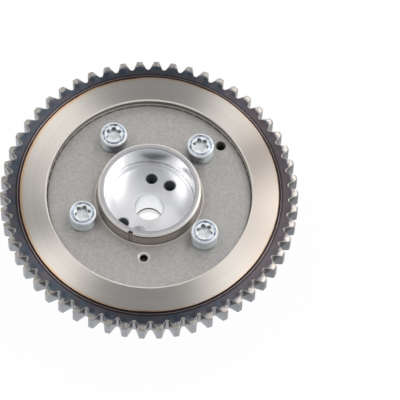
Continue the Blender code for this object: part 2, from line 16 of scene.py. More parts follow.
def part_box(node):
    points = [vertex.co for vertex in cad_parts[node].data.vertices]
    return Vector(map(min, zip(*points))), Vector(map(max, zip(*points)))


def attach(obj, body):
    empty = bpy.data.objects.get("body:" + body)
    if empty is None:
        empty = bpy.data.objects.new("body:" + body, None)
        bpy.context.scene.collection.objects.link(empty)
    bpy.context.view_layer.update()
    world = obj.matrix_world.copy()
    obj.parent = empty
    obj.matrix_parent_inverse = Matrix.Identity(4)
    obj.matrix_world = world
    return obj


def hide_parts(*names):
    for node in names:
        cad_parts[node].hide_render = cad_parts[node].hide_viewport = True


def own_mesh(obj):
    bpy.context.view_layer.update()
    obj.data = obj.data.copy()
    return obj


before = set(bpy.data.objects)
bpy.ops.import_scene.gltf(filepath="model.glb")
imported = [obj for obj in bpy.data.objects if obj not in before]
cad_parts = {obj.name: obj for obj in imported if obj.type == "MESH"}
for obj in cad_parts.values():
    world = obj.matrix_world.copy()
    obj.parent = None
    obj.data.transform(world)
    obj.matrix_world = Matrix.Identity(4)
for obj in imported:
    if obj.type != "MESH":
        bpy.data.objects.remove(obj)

bl_info = {
    "name": "Camshaft phaser sprocket",
    "version": (1, 0, 0),
    "blender": (4, 5, 0),
    "location": "3D View > Sidebar > Cam gear",
    "description": "Builds the surfaces, finishes and studio of a camshaft phaser sprocket",
    "category": "Add Mesh",
}

MM = 0.001
TURN = 2 * math.pi
MERGE = 2e-6                # grid points closer than this become one
SHARP = math.radians(32)    # an edge that turns by more than this is drawn sharp
TURNING_MAP = "turning"     # UV map whose U runs across the cut and V along it
UV_SCALE = 10               # U of one metre of profile
COLUMNS = np.linspace(0, TURN, 481)     # angles of the columns where no teeth set them

HOUSING_LOW, HOUSING_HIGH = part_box("sprocket_housing")
PLATE_LOW, PLATE_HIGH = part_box("cover_plate")
COVER_LOW, COVER_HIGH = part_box("front_cover")
COLLAR_LOW, COLLAR_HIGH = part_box("hub_collar")
ROTOR_LOW, ROTOR_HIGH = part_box("vane_rotor")
SCREW_LOW, SCREW_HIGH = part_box("cover_screw_1")
SCREW_ANGLES = tuple(math.radians(a) for a in (45.1, 121.5, 202.4, 321.4))
RECESS_ANGLES = tuple(math.radians(a) for a in (45, 30, 15, 45))   # one lobe of each screw's recess
LOBES = 6                   # lobes of a screw's recess
OIL_ANGLES = tuple(math.radians(a) for a in (49.8, 86.4, 215.3))
VANE_SPANS = tuple((math.radians(a), math.radians(b)) for a, b in (
    (58.3, 83.3), (139.0, 155.0), (250.5, 282.5), (338.9, 354.9)))

PICTURE = 400                           # pixels across the picture
SENSOR = 36.0                           # width of the camera's sensor, in millimetres
SHADOW_REACH = (40 * MM, 48 * MM)       # from here to there the mirrored table turns from shadow to white
# the white spot is painted light: mirrored rays see the table glowing white there, inside the part's shadow
BOLT_LIGHT = 12 * MM                    # radius of the table's white spot under the bolt hole
OPENING = 38 * MM                       # outer radius of the table's open ring
TABLE_GLOW = 0.97                       # share of pure white in the table that the camera sees
WALL_RISE = (0.04, 0.22)                # sine of the elevations between which the white wall ends
TABLE_REACH = 3.0                       # half the table's side
VIEW_REACH = 20.0                       # farthest thing that the camera sees
LAMP_DISTANCE = 0.96                    # from the turned face to each lamp
LAMP_TINT = (1.0, 0.98, 0.955)          # slightly warm white
# name, azimuth and elevation in degrees, width and height in metres, radiance
SOFT_BOXES = (
    ("right_box", -1, 57, 0.30, 0.70, 4.2),
    ("left_box", 181, 60, 0.32, 0.45, 4.2),
    ("right_high_box", 46, 56, 0.21, 0.29, 4.2),
    ("right_low_box", 10, 13, 0.54, 0.35, 3.6),
    ("back_right_box", 65, 28, 0.26, 0.48, 3.6),
    ("back_left_box", 121, 29, 0.36, 0.60, 2.7),
)


def linear(code):
    """Linear colour of an sRGB hex code such as "#c8ccd0"."""
    parts = np.array([int(code[k:k + 2], 16) / 255 for k in (1, 3, 5)])
    return tuple(np.where(parts <= 0.04045, parts / 12.92, ((parts + 0.055) / 1.055) ** 2.4))


def size(label, millimetres, words):
    """Length property whose default is given in millimetres."""
    return FloatProperty(name=label, description=words, default=millimetres * MM, precision=5,
                         unit="LENGTH")


def angle(label, degrees, words):
    """Angle property whose default is given in degrees."""
    return FloatProperty(name=label, description=words, default=math.radians(degrees), subtype="ANGLE")


def colour(label, code, words):
    """Colour property whose default is an sRGB hex code."""
    return FloatVectorProperty(name=label, description=words, default=linear(code), size=3, min=0, max=1,
                               subtype="COLOR")


# Sizes and colours that a user may change

class RimSizes(bpy.types.PropertyGroup):
    chain_pitch: size("Chain pitch", 6.35, "Distance between neighbouring teeth, measured on their tips")
    tooth_count: IntProperty(name="Teeth", description="Number of teeth round the rim", default=54,
                             min=12, max=120)
    tooth_height: size("Tooth height", 3.45, "From the bottom of a tooth gap to the tip")
    tip_land: size("Tip land", 1.9, "Width of the flat on a tooth's tip")
    gullet_radius: size("Gullet radius", 0.95, "Radius of the round bottom of a tooth gap")
    tooth_phase: angle("Tooth phase", 1.667, "Angle of the first tooth's centre line")
    bevel_height: size("Bevel height", 2.5, "How far the front bevel reaches down from the tip")
    bevel_drop: size("Bevel drop", 0.75, "How far the bevel falls away at the tip")
    back_bevel: size("Back bevel", 0.3, "Chamfer at the back of the teeth")
    edge_break: size("Edge break", 0.4, "Narrow chamfer round the tooth gaps")
    tooth_width: size("Tooth width", 8.0, "Thickness of the toothed ring")
    rim_step: size("Rim step", 0.4, "How much lower the hardened rim lies than the turned face")
    face_radius: size("Face radius", 47.5, "Outer radius of the turned face")
    bead_width: size("Bead width", 0.7, "Width of the low bead inside the hardened rim")
    recess_radius: size("Recess radius", 37.6, "Radius of the recess that takes the cover plate")
    barrel_radius: size("Barrel radius", 39.5, "Outer radius of the barrel behind the teeth")


class HousingSizes(bpy.types.PropertyGroup):
    bore_radius: size("Rotor bore", 20.8, "Radius of the lobes that bear on the rotor")
    chamber_radius: size("Chamber radius", 34.0, "Outer radius of the oil chambers")
    lobe_half_angle: angle("Lobe half angle", 12.5, "Half the angle that one lobe takes up")
    screw_circle: size("Screw circle", 26.05, "Radius of the circle that the cover screws stand on")
    screw_hole: size("Screw hole", 3.3, "Radius of the screw holes")
    timing_circle: size("Timing hole circle", 33.6, "Distance of the timing hole from the axis")
    timing_angle: angle("Timing hole angle", 39.5, "Angle of the timing hole")
    timing_radius: size("Timing hole radius", 1.7, "Radius of the timing hole")
    timing_depth: size("Timing hole depth", 8.0, "Depth of the timing hole below the cover plate's face")
    lock_circle: size("Lock circle", 24.5, "Distance of the lock pin from the axis")
    lock_angle: angle("Lock angle", 266.5, "Angle of the lock pin")
    band_split: size("Band split", 30.3, "Radius between the screw holes and the timing hole")


class PlateSizes(bpy.types.PropertyGroup):
    hole_radius: size("Plate hole", 19.4, "Radius of the hole round the collar")
    chamfer: size("Edge chamfer", 0.3, "Chamfer of the plate's edges")
    vent_radius: size("Vent radius", 1.5, "Radius of the lock pin's vent")
    vent_sink: size("Vent countersink", 0.8, "Depth and width of the vent's countersink")
    pocket_radius: size("Bush pocket radius", 4.0, "Radius of the pocket that takes the lock bush")
    pocket_depth: size("Bush pocket depth", 2.1, "Depth of the pocket that takes the lock bush")


class ScrewSizes(bpy.types.PropertyGroup):
    head_radius: size("Head radius", 4.95, "Radius of a screw head")
    head_height: size("Head height", 5.8, "Height of a screw head")
    head_chamfer: size("Head chamfer", 0.5, "Rounded edge of a screw head")
    shank_radius: size("Shank radius", 3.0, "Radius of a screw's shank")
    recess_radius: size("Recess radius", 2.6, "Mean radius of the six-lobe recess")
    recess_wave: size("Recess wave", 0.42, "How far the six lobes swing about the mean radius")
    recess_depth: size("Recess depth", 2.4, "Depth of the six-lobe recess")
    groove_radius: size("Groove radius", 3.8, "Middle of the shallow groove on the head")
    groove_width: size("Groove width", 0.85, "Width of the shallow groove on the head")
    groove_depth: size("Groove depth", 0.22, "Depth of the shallow groove on the head")


class CollarSizes(bpy.types.PropertyGroup):
    outer_radius: size("Outer radius", 19.0, "Outer radius of the collar")
    bore_radius: size("Bore radius", 16.7, "Radius of the bore that centres the camshaft nose")
    chamfer: size("Chamfer", 0.8, "Bright chamfer at the collar's outer edge")
    inner_chamfer: size("Inner chamfer", 0.3, "Chamfer at the collar's inner edge")
    notch_angle: angle("Notch angle", -110.5, "Angle of the notch in the collar")
    notch_depth: size("Notch depth", 0.8, "Depth of the notch")
    notch_half_width: size("Notch half width", 0.86, "Half the notch's width at the collar's outside")
    notch_length: size("Notch length", 7.0, "How far the notch runs down the collar")


class RotorSizes(bpy.types.PropertyGroup):
    hub_radius: size("Hub radius", 20.5, "Outer radius of the hub between the vanes")
    vane_radius: size("Vane radius", 33.4, "Outer radius of the vanes")
    slot_floor: size("Seal slot floor", 29.6, "Radius at the bottom of a vane's seal slot")
    slot_width: size("Seal slot width", 2.6, "Width of a vane's seal slot")
    counterbore: size("Counterbore", 19.3, "Radius of the counterbore that takes the collar")
    counterbore_depth: size("Counterbore depth", 1.2, "Depth of the counterbore that takes the collar")
    floor_radius: size("Floor radius", 16.4, "Radius of the pocket below the collar")
    pocket_depth: size("Pocket depth", 12.0, "Depth of the pocket below the turned face")
    nose_radius: size("Nose radius", 15.2, "Radius of the nose in the front cover")
    nose_length: size("Nose length", 4.0, "Length of the nose in the front cover")
    bolt_radius: size("Bolt hole radius", 5.25, "Radius of the centre bolt's hole")
    bolt_chamfer: size("Bolt hole chamfer", 0.45, "Chamfer of the centre bolt's hole")
    oil_circle: size("Oil hole circle", 11.6, "Radius of the circle that the oil holes lie on")
    oil_radius: size("Oil hole radius", 2.1, "Radius of the oil holes")
    oil_depth: size("Oil hole depth", 9.0, "Depth of the oil holes")
    pin_travel: size("Pin travel", 1.2, "How far the lock pin slides down")
    peg_circle: size("Peg hole circle", 10.8, "Distance of the locating peg's hole from the axis")
    peg_angle: angle("Peg hole angle", 250.6, "Angle of the locating peg's hole")
    peg_radius: size("Peg hole radius", 2.5, "Radius of the locating peg's hole")
    peg_depth: size("Peg hole depth", 5.0, "Depth of the locating peg's hole")
    hole_chamfer: size("Hole chamfer", 0.35, "Chamfer of the holes in the pocket floor")
    pin_bore: size("Pin bore", 2.8, "Radius of the lock pin's bore in the wide vane")


class CoverSizes(bpy.types.PropertyGroup):
    bore_radius: size("Bore radius", 15.5, "Radius of the hole round the rotor's nose")
    outer_chamfer: size("Outer chamfer", 0.8, "Chamfer at the front cover's outer edge")
    inner_chamfer: size("Inner chamfer", 0.3, "Chamfer at the seam with the housing")


class FinishColours(bpy.types.PropertyGroup):
    steel: colour("Turned steel", "#d5d0c9", "Freshly turned sintered steel")
    heated: colour("Heated side", "#d8cdc4", "Faint temper tint on one side of the turned face")
    straw: colour("Straw tint", "#d2b292", "First temper colour beside the hardened rim")
    burnt: colour("Burnt tint", "#5f412e", "Brown temper line at the edge of the turned face")
    blued: colour("Blued rim", "#4a5460", "Oxide of the induction-hardened rim")
    violet: colour("Violet rim", "#625c61", "Oxide where the rim stayed cooler")
    scorched: colour("Scorched groove", "#3c3436", "Scorched steel beside the bead")
    # painted highlight: the lighter line on the bead's crest
    bead: colour("Rubbed bead", "#857a7a", "Crest of the bead")
    bevel: colour("Ground bevel", "#aaa59e", "Bare steel of the ground tooth bevel")
    # painted light: the paler tone of the bevels towards +X
    bare: colour("Bare bevel", "#e2d9d3", "Bevels on the side that the oxide left bare")
    flank: colour("Tooth flank", "#9b9ea4", "Pressed steel of the tooth flanks")
    # painted shade: the dark tone of the flank wedges and of the bolt hole's undercut
    oxide: colour("Flank oxide", "#3a3634", "Remains of dark oxide on the tooth flanks")
    # painted highlight: pale flecks along the tooth edges
    tooth_edge_highlight: colour("Tooth edge", "#b9b6b2", "Rubbed flecks along the tooth edges")
    sinter: colour("Sintered steel", "#8b8885", "Pressed and sintered steel")
    # painted shade of the upper recess wall
    shade: colour("Recess wall", "#988f87", "Brownish skin of the recess wall")
    # the paler band at the foot of the recess wall, below the painted shade
    foot: colour("Recess foot", "#e6e1d9", "Bare steel at the foot of the recess wall")
    # painted highlight: the pale line round the recess edge
    edge: colour("Burnished edge", "#e6e1da", "Burnished edges and chamfers")
    # painted highlight: the collar's outer chamfer, and the plate's ring round the collar and vent
    # countersink
    crest: colour("Bright chamfer", "#efebe6", "Collar's outer edge and chamfers of the plate's holes")
    blasted: colour("Blasted plate", "#bab8b6", "Blasted face of the cover plate")
    zinc: colour("Zinc plating", "#d3dde8", "Bluish clear-passivated zinc")
    # painted reflection: the paler tone of a screw's side near its seat
    painted_seat_reflection: colour("Dusty plating", "#eefaf9", "Plating near a screw's seat")
    socket: colour("Screw recess", "#87928d", "Greenish plating in the screw recess")
    collar: colour("Collar steel", "#b9b8bc", "Faced steel of the collar")
    skin: colour("Collar skin", "#bfb5ac", "Brownish skin of the collar's outside")
    aluminium: colour("Aluminium", "#f7f8fa", "Turned aluminium of the rotor")
    # darker than the bare aluminium, for the walls of the deep oil holes
    drilled: colour("Drilled hole", "#a4a9ab", "Oily wall of a deep drilled hole")
    hard_steel: colour("Hard steel", "#b4b5b9", "Ground and hardened steel")
    spring: colour("Spring steel", "#9a9b9f", "Cold-drawn spring steel")
    seal: colour("Seal plastic", "#4a3a2c", "Filled plastic of the vane seals")


class StageSettings(bpy.types.PropertyGroup):
    tilt: angle("Camera tilt", 25.33, "Angle between the camera's view and the part's axis")
    roll: angle("Camera roll", -1.3, "How far the part is rolled in the picture")
    distance: FloatProperty(name="Camera distance", description="From the camera to the turned face",
                            default=1.28, min=0.2, unit="LENGTH")
    scale: FloatProperty(name="Picture scale", description="Pixels for one millimetre on the turned face",
                         default=2.734, min=0.1)
    centre: FloatVectorProperty(name="Axis in the picture", size=2, default=(149.4, 192.7),
                                description="Pixel at which the axis meets the turned face")
    world: colour("Studio grey", "#9d9ea1", "Even light of the studio walls and ceiling")
    floor: colour("Floor", "#f4f4f4", "White table under the part")


GROUPS = (RimSizes, HousingSizes, PlateSizes, ScrewSizes, CollarSizes, RotorSizes, CoverSizes,
          FinishColours, StageSettings)


class CamGear(bpy.types.PropertyGroup):
    rim: PointerProperty(type=RimSizes, name="Rim", description="Toothed rim and turned face")
    housing: PointerProperty(type=HousingSizes, name="Housing", description="Chambers, lobes and holes")
    plate: PointerProperty(type=PlateSizes, name="Cover plate", description="Plate on the camshaft side")
    screw: PointerProperty(type=ScrewSizes, name="Cover screws", description="Four screws of the plate")
    collar: PointerProperty(type=CollarSizes, name="Collar", description="Steel collar of the rotor")
    rotor: PointerProperty(type=RotorSizes, name="Rotor", description="Vane rotor and its pocket")
    cover: PointerProperty(type=CoverSizes, name="Front cover", description="Plate on the far side")
    finish: PointerProperty(type=FinishColours, name="Finishes", description="Colours of the finishes")
    stage: PointerProperty(type=StageSettings, name="Stage", description="Camera, lamps and floor")


# Surfaces

def turned(corners, columns, steps=3):
    """Turned surface over a profile whose corners (radius, height, ease, finish) are rounded.

    Each corner c becomes the curve (1 - t)^2 a + 2 t (1 - t) c + t^2 b, where a and b lie the ease
    before and after it on the straight parts. The finish is that of the stretch after the corner.
    """
    corners = np.array(corners, float)
    spots, eases = corners[:, :2], corners[:, 2:3]
    before = np.roll(spots, 1, 0) - spots
    after = np.roll(spots, -1, 0) - spots
    a = spots + before / np.linalg.norm(before, axis=1, keepdims=True) * eases
    b = spots + after / np.linalg.norm(after, axis=1, keepdims=True) * eases
    t = np.linspace(0, 1, steps + 1)[None, :, None]
    curve = (1 - t) ** 2 * a[:, None] + 2 * t * (1 - t) * spots[:, None] + t ** 2 * b[:, None]
    curve[0], curve[-1] = spots[0], spots[-1]
    sharp = (eases[:, 0] == 0) | (np.arange(len(spots)) % (len(spots) - 1) == 0)
    keep = np.ones(curve.shape[:2], bool)
    keep[sharp, 1:] = False
    curve[sharp, 0] = spots[sharp]
    marks = np.repeat(corners[:, 3:], steps + 1, axis=1)[keep][:-1]
    return revolve(curve[keep], columns, marks.astype(int)[:, None])


def revolve(profile, columns, finish=0):
    """Grid over a turned surface: point (i, j) = (r_i cos a_j, r_i sin a_j, z_i).

    The rows' radii and heights may differ from column to column. U is the length along the
    profile and V is the angle. The finish is one for all cells, or a column with one for each row.
    """
    radii = np.array([np.broadcast_to(row[0], columns.shape) for row in profile])
    heights = np.array([np.broadcast_to(row[1], columns.shape) for row in profile])
    angles = np.array([row[2] if len(row) > 2 else columns for row in profile])
    points = np.stack([radii * np.cos(angles), radii * np.sin(angles), heights], -1)
    steps = np.hypot(np.diff(radii, axis=0), np.diff(heights, axis=0)).mean(1)
    across = np.concatenate([[0], np.cumsum(steps)])[:, None]
    around = columns[None] / TURN
    uv = np.stack([across * np.ones_like(radii) * UV_SCALE, around * np.ones_like(radii)], -1)
    return points, uv, finish, None


def ring_face(edges, height, columns, holes=(), finish=0, steps=10):
    """Flat face round the axis with round holes in it, and each hole's rim as bearings.

    Band k runs from radius edges[k] to edges[k + 1] in even steps. A hole (centre angle, distance,
    radius, half angle, band) takes the cells round it, and straight lines fill them: point = rim +
    s (border - rim), where the rim point lies at the border point's own bearing from the hole's centre.
    """
    edges = np.array([np.broadcast_to(edge, columns.shape) for edge in edges])
    share = np.arange(steps)[None, :, None] / steps
    radii = (edges[:-1, None] + share * np.diff(edges, axis=0)[:, None]).reshape(-1, len(columns))
    radii = np.concatenate([radii, edges[-1:]])
    points, uv = revolve([(radius, height) for radius in radii], columns)[:2]
    free = np.ones((len(radii) - 1, len(columns) - 1), bool)
    patches, bearings = [(points, uv, finish, free)], []
    for middle, distance, radius, half, band in holes:
        first, last = band * steps, (band + 1) * steps
        low, high = np.searchsorted(columns, (middle - half, middle + half))
        free[first:last, low:high] = False
        block = points[first:last + 1, low:high + 1]
        border = np.concatenate([block[0, :-1], block[:-1, -1], block[-1, :0:-1],
                                 block[:0:-1, 0], block[0, :1]])
        centre = np.array([distance * math.cos(middle), distance * math.sin(middle), height])
        bearing = np.arctan2(border[:, 1] - centre[1], border[:, 0] - centre[0])
        rim = centre + radius * np.stack([np.cos(bearing), np.sin(bearing), 0 * bearing], -1)
        # three rings of cells between the rim and the border
        share = np.linspace(0, 1, 4)[:, None, None]
        fill = rim + share * (border - rim)
        turns = np.arctan2(fill[..., 1], fill[..., 0]) % TURN / TURN
        fill_uv = np.stack([np.hypot(fill[..., 0], fill[..., 1]) * UV_SCALE, turns], -1)
        patches.append((fill, fill_uv, finish, None))
        bearings.append(np.unwrap(bearing))
    return patches, bearings


def hole_wall(hole, profile, top, bottom=None, finish=0):
    """Wall of a hole: point (i, j) = centre + r_i (cos b_j, sin b_j) at height z_i.

    The hole's first two facts are its centre's angle and distance. The bearings b run evenly from
    those of the top rim to those of the bottom rim. A last radius of nought closes a blind hole.
    """
    middle, distance = hole[:2]
    profile = np.array(profile)
    share = np.linspace(0, 1, len(profile))[:, None]
    bearing = top[None] if bottom is None else top + share * (bottom - top)
    radii, heights = profile[:, :1], profile[:, 1:]
    points = np.stack([distance * math.cos(middle) + radii * np.cos(bearing),
                       distance * math.sin(middle) + radii * np.sin(bearing),
                       heights + 0 * bearing], -1)
    depth = np.concatenate([[0], np.cumsum(np.hypot(*np.diff(profile, axis=0).T))])[:, None]
    uv = np.stack([depth + 0 * bearing, bearing / TURN + 0 * depth], -1)
    return points, uv * (UV_SCALE, 1), finish, None


def spans_of_columns(columns, spans):
    """Columns with the ones nearest to each span's ends doubled, and a mask of each span's columns.

    The doubled columns let a radius jump there, so that the grid gets a radial wall.
    """
    ends = np.array([[np.abs(columns - end).argmin() for end in span] for span in spans])
    order = np.sort(np.concatenate([np.arange(len(columns)), ends.ravel()]))
    masks = []
    for low, high in ends:
        mask = np.zeros(len(order), bool)
        mask[np.searchsorted(order, low, side="right") - 1:np.searchsorted(order, high) + 1] = True
        masks.append(mask)
    return order, masks


def make_piece(name, patches, finishes, body, nodes):
    """Object from grids of points: cells become quads, equal points merge and faces point outwards."""
    corners, uvs, marks, points, start = [], [], [], [], 0
    for grid, uv, finish, keep in patches:
        rows, count = grid.shape[:2]
        keep = np.ones((rows - 1, count - 1), bool) if keep is None else keep
        index = start + np.arange(rows * count).reshape(rows, count)
        quads = np.stack([index[:-1, :-1], index[:-1, 1:], index[1:, 1:], index[1:, :-1]], -1)[keep]
        corners.append(quads)
        uvs.append(uv.reshape(-1, 2)[quads - start])
        marks.append(np.broadcast_to(finish, keep.shape)[keep])
        points.append(grid.reshape(-1, 3))
        start += rows * count
    corners, uvs, marks, points = (np.concatenate(part) for part in (corners, uvs, marks, points))
    mesh = bpy.data.meshes.new(name)
    mesh.vertices.add(len(points))
    mesh.vertices.foreach_set("co", points.astype(np.float32).ravel())
    mesh.loops.add(corners.size)
    mesh.loops.foreach_set("vertex_index", corners.astype(np.int32).ravel())
    mesh.polygons.add(len(corners))
    mesh.polygons.foreach_set("loop_start", np.arange(0, corners.size, 4, dtype=np.int32))
    mesh.polygons.foreach_set("material_index", marks.astype(np.int32))
    mesh.update(calc_edges=True)
    mesh.uv_layers.new(name=TURNING_MAP).data.foreach_set("uv", uvs.astype(np.float32).ravel())
    bm = bmesh.new()
    bm.from_mesh(mesh)
    bmesh.ops.remove_doubles(bm, verts=bm.verts, dist=MERGE)
    bmesh.ops.dissolve_degenerate(bm, edges=bm.edges, dist=MERGE / 2)
    bmesh.ops.recalc_face_normals(bm, faces=bm.faces)
    bm.to_mesh(mesh)
    bm.free()
    mesh.shade_smooth()
    mesh.set_sharp_from_angle(angle=SHARP)
    for finish in finishes:
        mesh.materials.append(finish)
    piece = bpy.data.objects.new(name, mesh)
    bpy.context.scene.collection.objects.link(piece)
    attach(piece, body)
    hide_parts(*nodes)
    return piece


# Finishes

def add(tree, kind, inputs=None, out=0, **settings):
    """Adds one node and gives one of its outputs.

    The settings are the node's own attributes. Each input is a value or another node's output.
    """
    made = tree.nodes.new(kind)
    for key, value in settings.items():
        setattr(made, key, value)
    for key, value in (inputs or {}).items():
        if isinstance(value, bpy.types.NodeSocket):
            tree.links.new(value, made.inputs[key])
        else:
            made.inputs[key].default_value = value
    return made.outputs[out] if len(made.outputs) else None


def rgba(tone, share=1.0):
    """Opaque colour, darkened to a share."""
    return (*(c * share for c in tone), 1.0)


def start_material(name):
    """Empty material, its nodes and its Object coordinates."""
    material = bpy.data.materials.new(name)
    material.use_nodes = True
    tree = material.node_tree
    tree.nodes.clear()
    return material, tree, add(tree, "ShaderNodeTexCoord", out="Object")


def close_material(material, inputs):
    """Adds the Principled shader and the output, and gives the material back."""
    shader = add(material.node_tree, "ShaderNodeBsdfPrincipled", inputs)
    add(material.node_tree, "ShaderNodeOutputMaterial", {"Surface": shader})
    return material


def laid_over(tree, base, *coats, steps="SMOOTHSTEP"):
    """Lays coats (tone, value, low, high) over a base, each as its value goes from low to high."""
    for tone, value, low, high in coats:
        share = add(tree, "ShaderNodeMapRange", {0: value, 1: low, 2: high}, interpolation_type=steps)
        base = add(tree, "ShaderNodeMix", {0: share, 6: base, 7: tone}, 2, data_type="RGBA")
    return base


def axis_distance(tree, place):
    """Distance of a point from the part's axis, in metres."""
    flat = add(tree, "ShaderNodeVectorMath", {0: place, 1: (1, 1, 0)}, operation="MULTIPLY")
    return add(tree, "ShaderNodeVectorMath", {0: flat}, "Value", operation="LENGTH")


def rough_skin(tree, place, grain, low, high, depth):
    """Fine noise, and the shader inputs for the uneven shine and fine dents that it gives a metal.

    The grain and the depth of its dents are in millimetres, and the roughness runs from low to high.
    """
    fine = add(tree, "ShaderNodeTexNoise",
               {"Vector": place, "Scale": 1 / (grain * MM), "Detail": 3.0, "Roughness": 0.65})
    rough = add(tree, "ShaderNodeMapRange", {0: fine, 1: 0.25, 2: 0.75, 3: low, 4: high})
    bump = add(tree, "ShaderNodeBump", {"Strength": 0.5, "Distance": depth * MM, "Height": fine})
    return fine, {"Metallic": 1.0, "Roughness": rough, "Normal": bump}


def turned_steel_face(gear):
    """Sintered steel faced on a lathe, with the temper colours of the hardened rim at its outer edge.

    The fine grooves stretch the light across the cut, so the face shows broad sectors of light
    that turn with the lamps. The grooves are drawn 0.4 mm apart, twice as coarse as they are.
    """
    tones, edge = gear.finish, gear.rim.face_radius
    material, tree, place = start_material("turned_sintered_steel")
    radius = axis_distance(tree, place)
    x = add(tree, "ShaderNodeSeparateXYZ", {0: place})
    cloud = add(tree, "ShaderNodeTexNoise", {"Vector": place, "Scale": 1 / (14 * MM), "Detail": 3.0})
    band = add(tree, "ShaderNodeTexNoise", {"W": radius, "Scale": 1 / (1.6 * MM), "Detail": 3.0},
               noise_dimensions="1D")
    grooves = add(tree, "ShaderNodeTexNoise", {"W": radius, "Scale": 1 / (0.4 * MM), "Roughness": 0.6},
                  noise_dimensions="1D")
    # the tints' edge wavers with the clouds, and the straw tint reaches further in towards -X
    warm = add(tree, "ShaderNodeMath", {0: cloud, 1: 1.6 * MM, 2: radius}, operation="MULTIPLY_ADD")
    warmer = add(tree, "ShaderNodeMath", {0: x, 1: -0.008, 2: warm}, operation="MULTIPLY_ADD")
    base = laid_over(
        tree, rgba(tones.steel, 0.96),
        (rgba(tones.steel), band, 0.3, 0.7),
        (rgba(tones.heated), x, 28 * MM, 42 * MM),
        (rgba(tones.straw), warmer, edge - 0.5 * MM, edge + 0.9 * MM),
        (rgba(tones.burnt), warm, edge + 0.5 * MM, edge + 0.95 * MM))
    bump = add(tree, "ShaderNodeBump", {"Strength": 0.09, "Distance": 0.02 * MM, "Height": grooves})
    tangent = add(tree, "ShaderNodeTangent", direction_type="UV_MAP", uv_map=TURNING_MAP)
    return close_material(material, {"Base Color": base, "Metallic": 1.0, "Roughness": 0.33,
                                     "Anisotropic": 0.9, "Normal": bump, "Tangent": tangent})


def blued_rim(gear):
    """Induction-hardened steel under its blue-black oxide: dark, with a soft shine.

    A scorched groove lies against the turned face, and the bead's crest carries a lighter line, a painted
    highlight.
    """
    tones, rim = gear.finish, gear.rim
    material, tree, place = start_material("blued_hardened_steel")
    radius = axis_distance(tree, place)
    x = add(tree, "ShaderNodeSeparateXYZ", {0: place})
    cloud = add(tree, "ShaderNodeTexNoise",
                {"Vector": place, "Scale": 1 / (3 * MM), "Detail": 4.0, "Roughness": 0.65})
    skin = rough_skin(tree, place, 0.4, 0.32, 0.5, 0.05)[1]
    crest = rim.face_radius + rim.rim_step + rim.bead_width / 2
    # the painted highlight on the bead's crest is 0.34 mm wide and wavers about the crest
    wavy = add(tree, "ShaderNodeMath", {0: cloud, 1: 0.5 * MM, 2: radius}, operation="MULTIPLY_ADD")
    painted_highlight = add(tree, "ShaderNodeMath", {0: wavy, 1: crest + 0.25 * MM, 2: 0.17 * MM}, operation="COMPARE")
    base = laid_over(
        tree, rgba(tones.blued),
        (rgba(tones.violet), cloud, 0.35, 0.7),
        (rgba(tones.violet, 0.9), x, 15 * MM, 45 * MM),
        (rgba(tones.scorched), radius, crest + 1.0 * MM, crest + 0.5 * MM),
        (rgba(tones.bead), painted_highlight, 0.0, 1.0),
        (rgba(tones.scorched, 0.8), radius, crest - 0.35 * MM, crest - 0.5 * MM))
    tangent = add(tree, "ShaderNodeTangent", direction_type="UV_MAP", uv_map=TURNING_MAP)
    return close_material(material, {**skin, "Base Color": base, "Anisotropic": 0.8, "Tangent": tangent})


def tip_radius(rim):
    """Radius of the tooth tips, which follows from the chain's pitch."""
    return rim.chain_pitch / (2 * math.sin(math.pi / rim.tooth_count))


def tooth_places(rim, tree, place):
    """Distance from the axis, from the nearest tooth's flank and from the middle of the nearest gap.

    They are in metres. A tooth's half width grows evenly from its tip down, which gives the flank's
    place at any radius.
    """
    pitch, tip = TURN / rim.tooth_count, tip_radius(rim)
    gap_share = pitch / 2 * (tip - rim.tooth_height) - rim.gullet_radius - rim.tip_land / 2
    spread = gap_share / (rim.tooth_height - rim.gullet_radius)
    tip_half = rim.tip_land / 2 + spread * tip
    radius = axis_distance(tree, place)
    x, y = add(tree, "ShaderNodeSeparateXYZ", {0: place}).node.outputs[:2]
    turn = add(tree, "ShaderNodeMath", {0: y, 1: x}, operation="ARCTAN2")
    turn = add(tree, "ShaderNodeMath", {0: turn, 1: rim.tooth_phase}, operation="SUBTRACT")
    turn = add(tree, "ShaderNodeMath", {0: turn, 1: pitch / 2, 2: -pitch / 2}, operation="WRAP")
    turn = add(tree, "ShaderNodeMath", {0: turn}, operation="ABSOLUTE")
    off = add(tree, "ShaderNodeMath", {0: turn, 1: radius}, operation="MULTIPLY")
    half = add(tree, "ShaderNodeMath", {0: radius, 1: -spread, 2: tip_half}, operation="MULTIPLY_ADD")
    flank = add(tree, "ShaderNodeMath", {0: half, 1: off}, operation="SUBTRACT")
    gap = add(tree, "ShaderNodeMath", {0: radius, 1: pitch / 2}, operation="MULTIPLY")
    return radius, flank, add(tree, "ShaderNodeMath", {0: gap, 1: off}, operation="SUBTRACT")


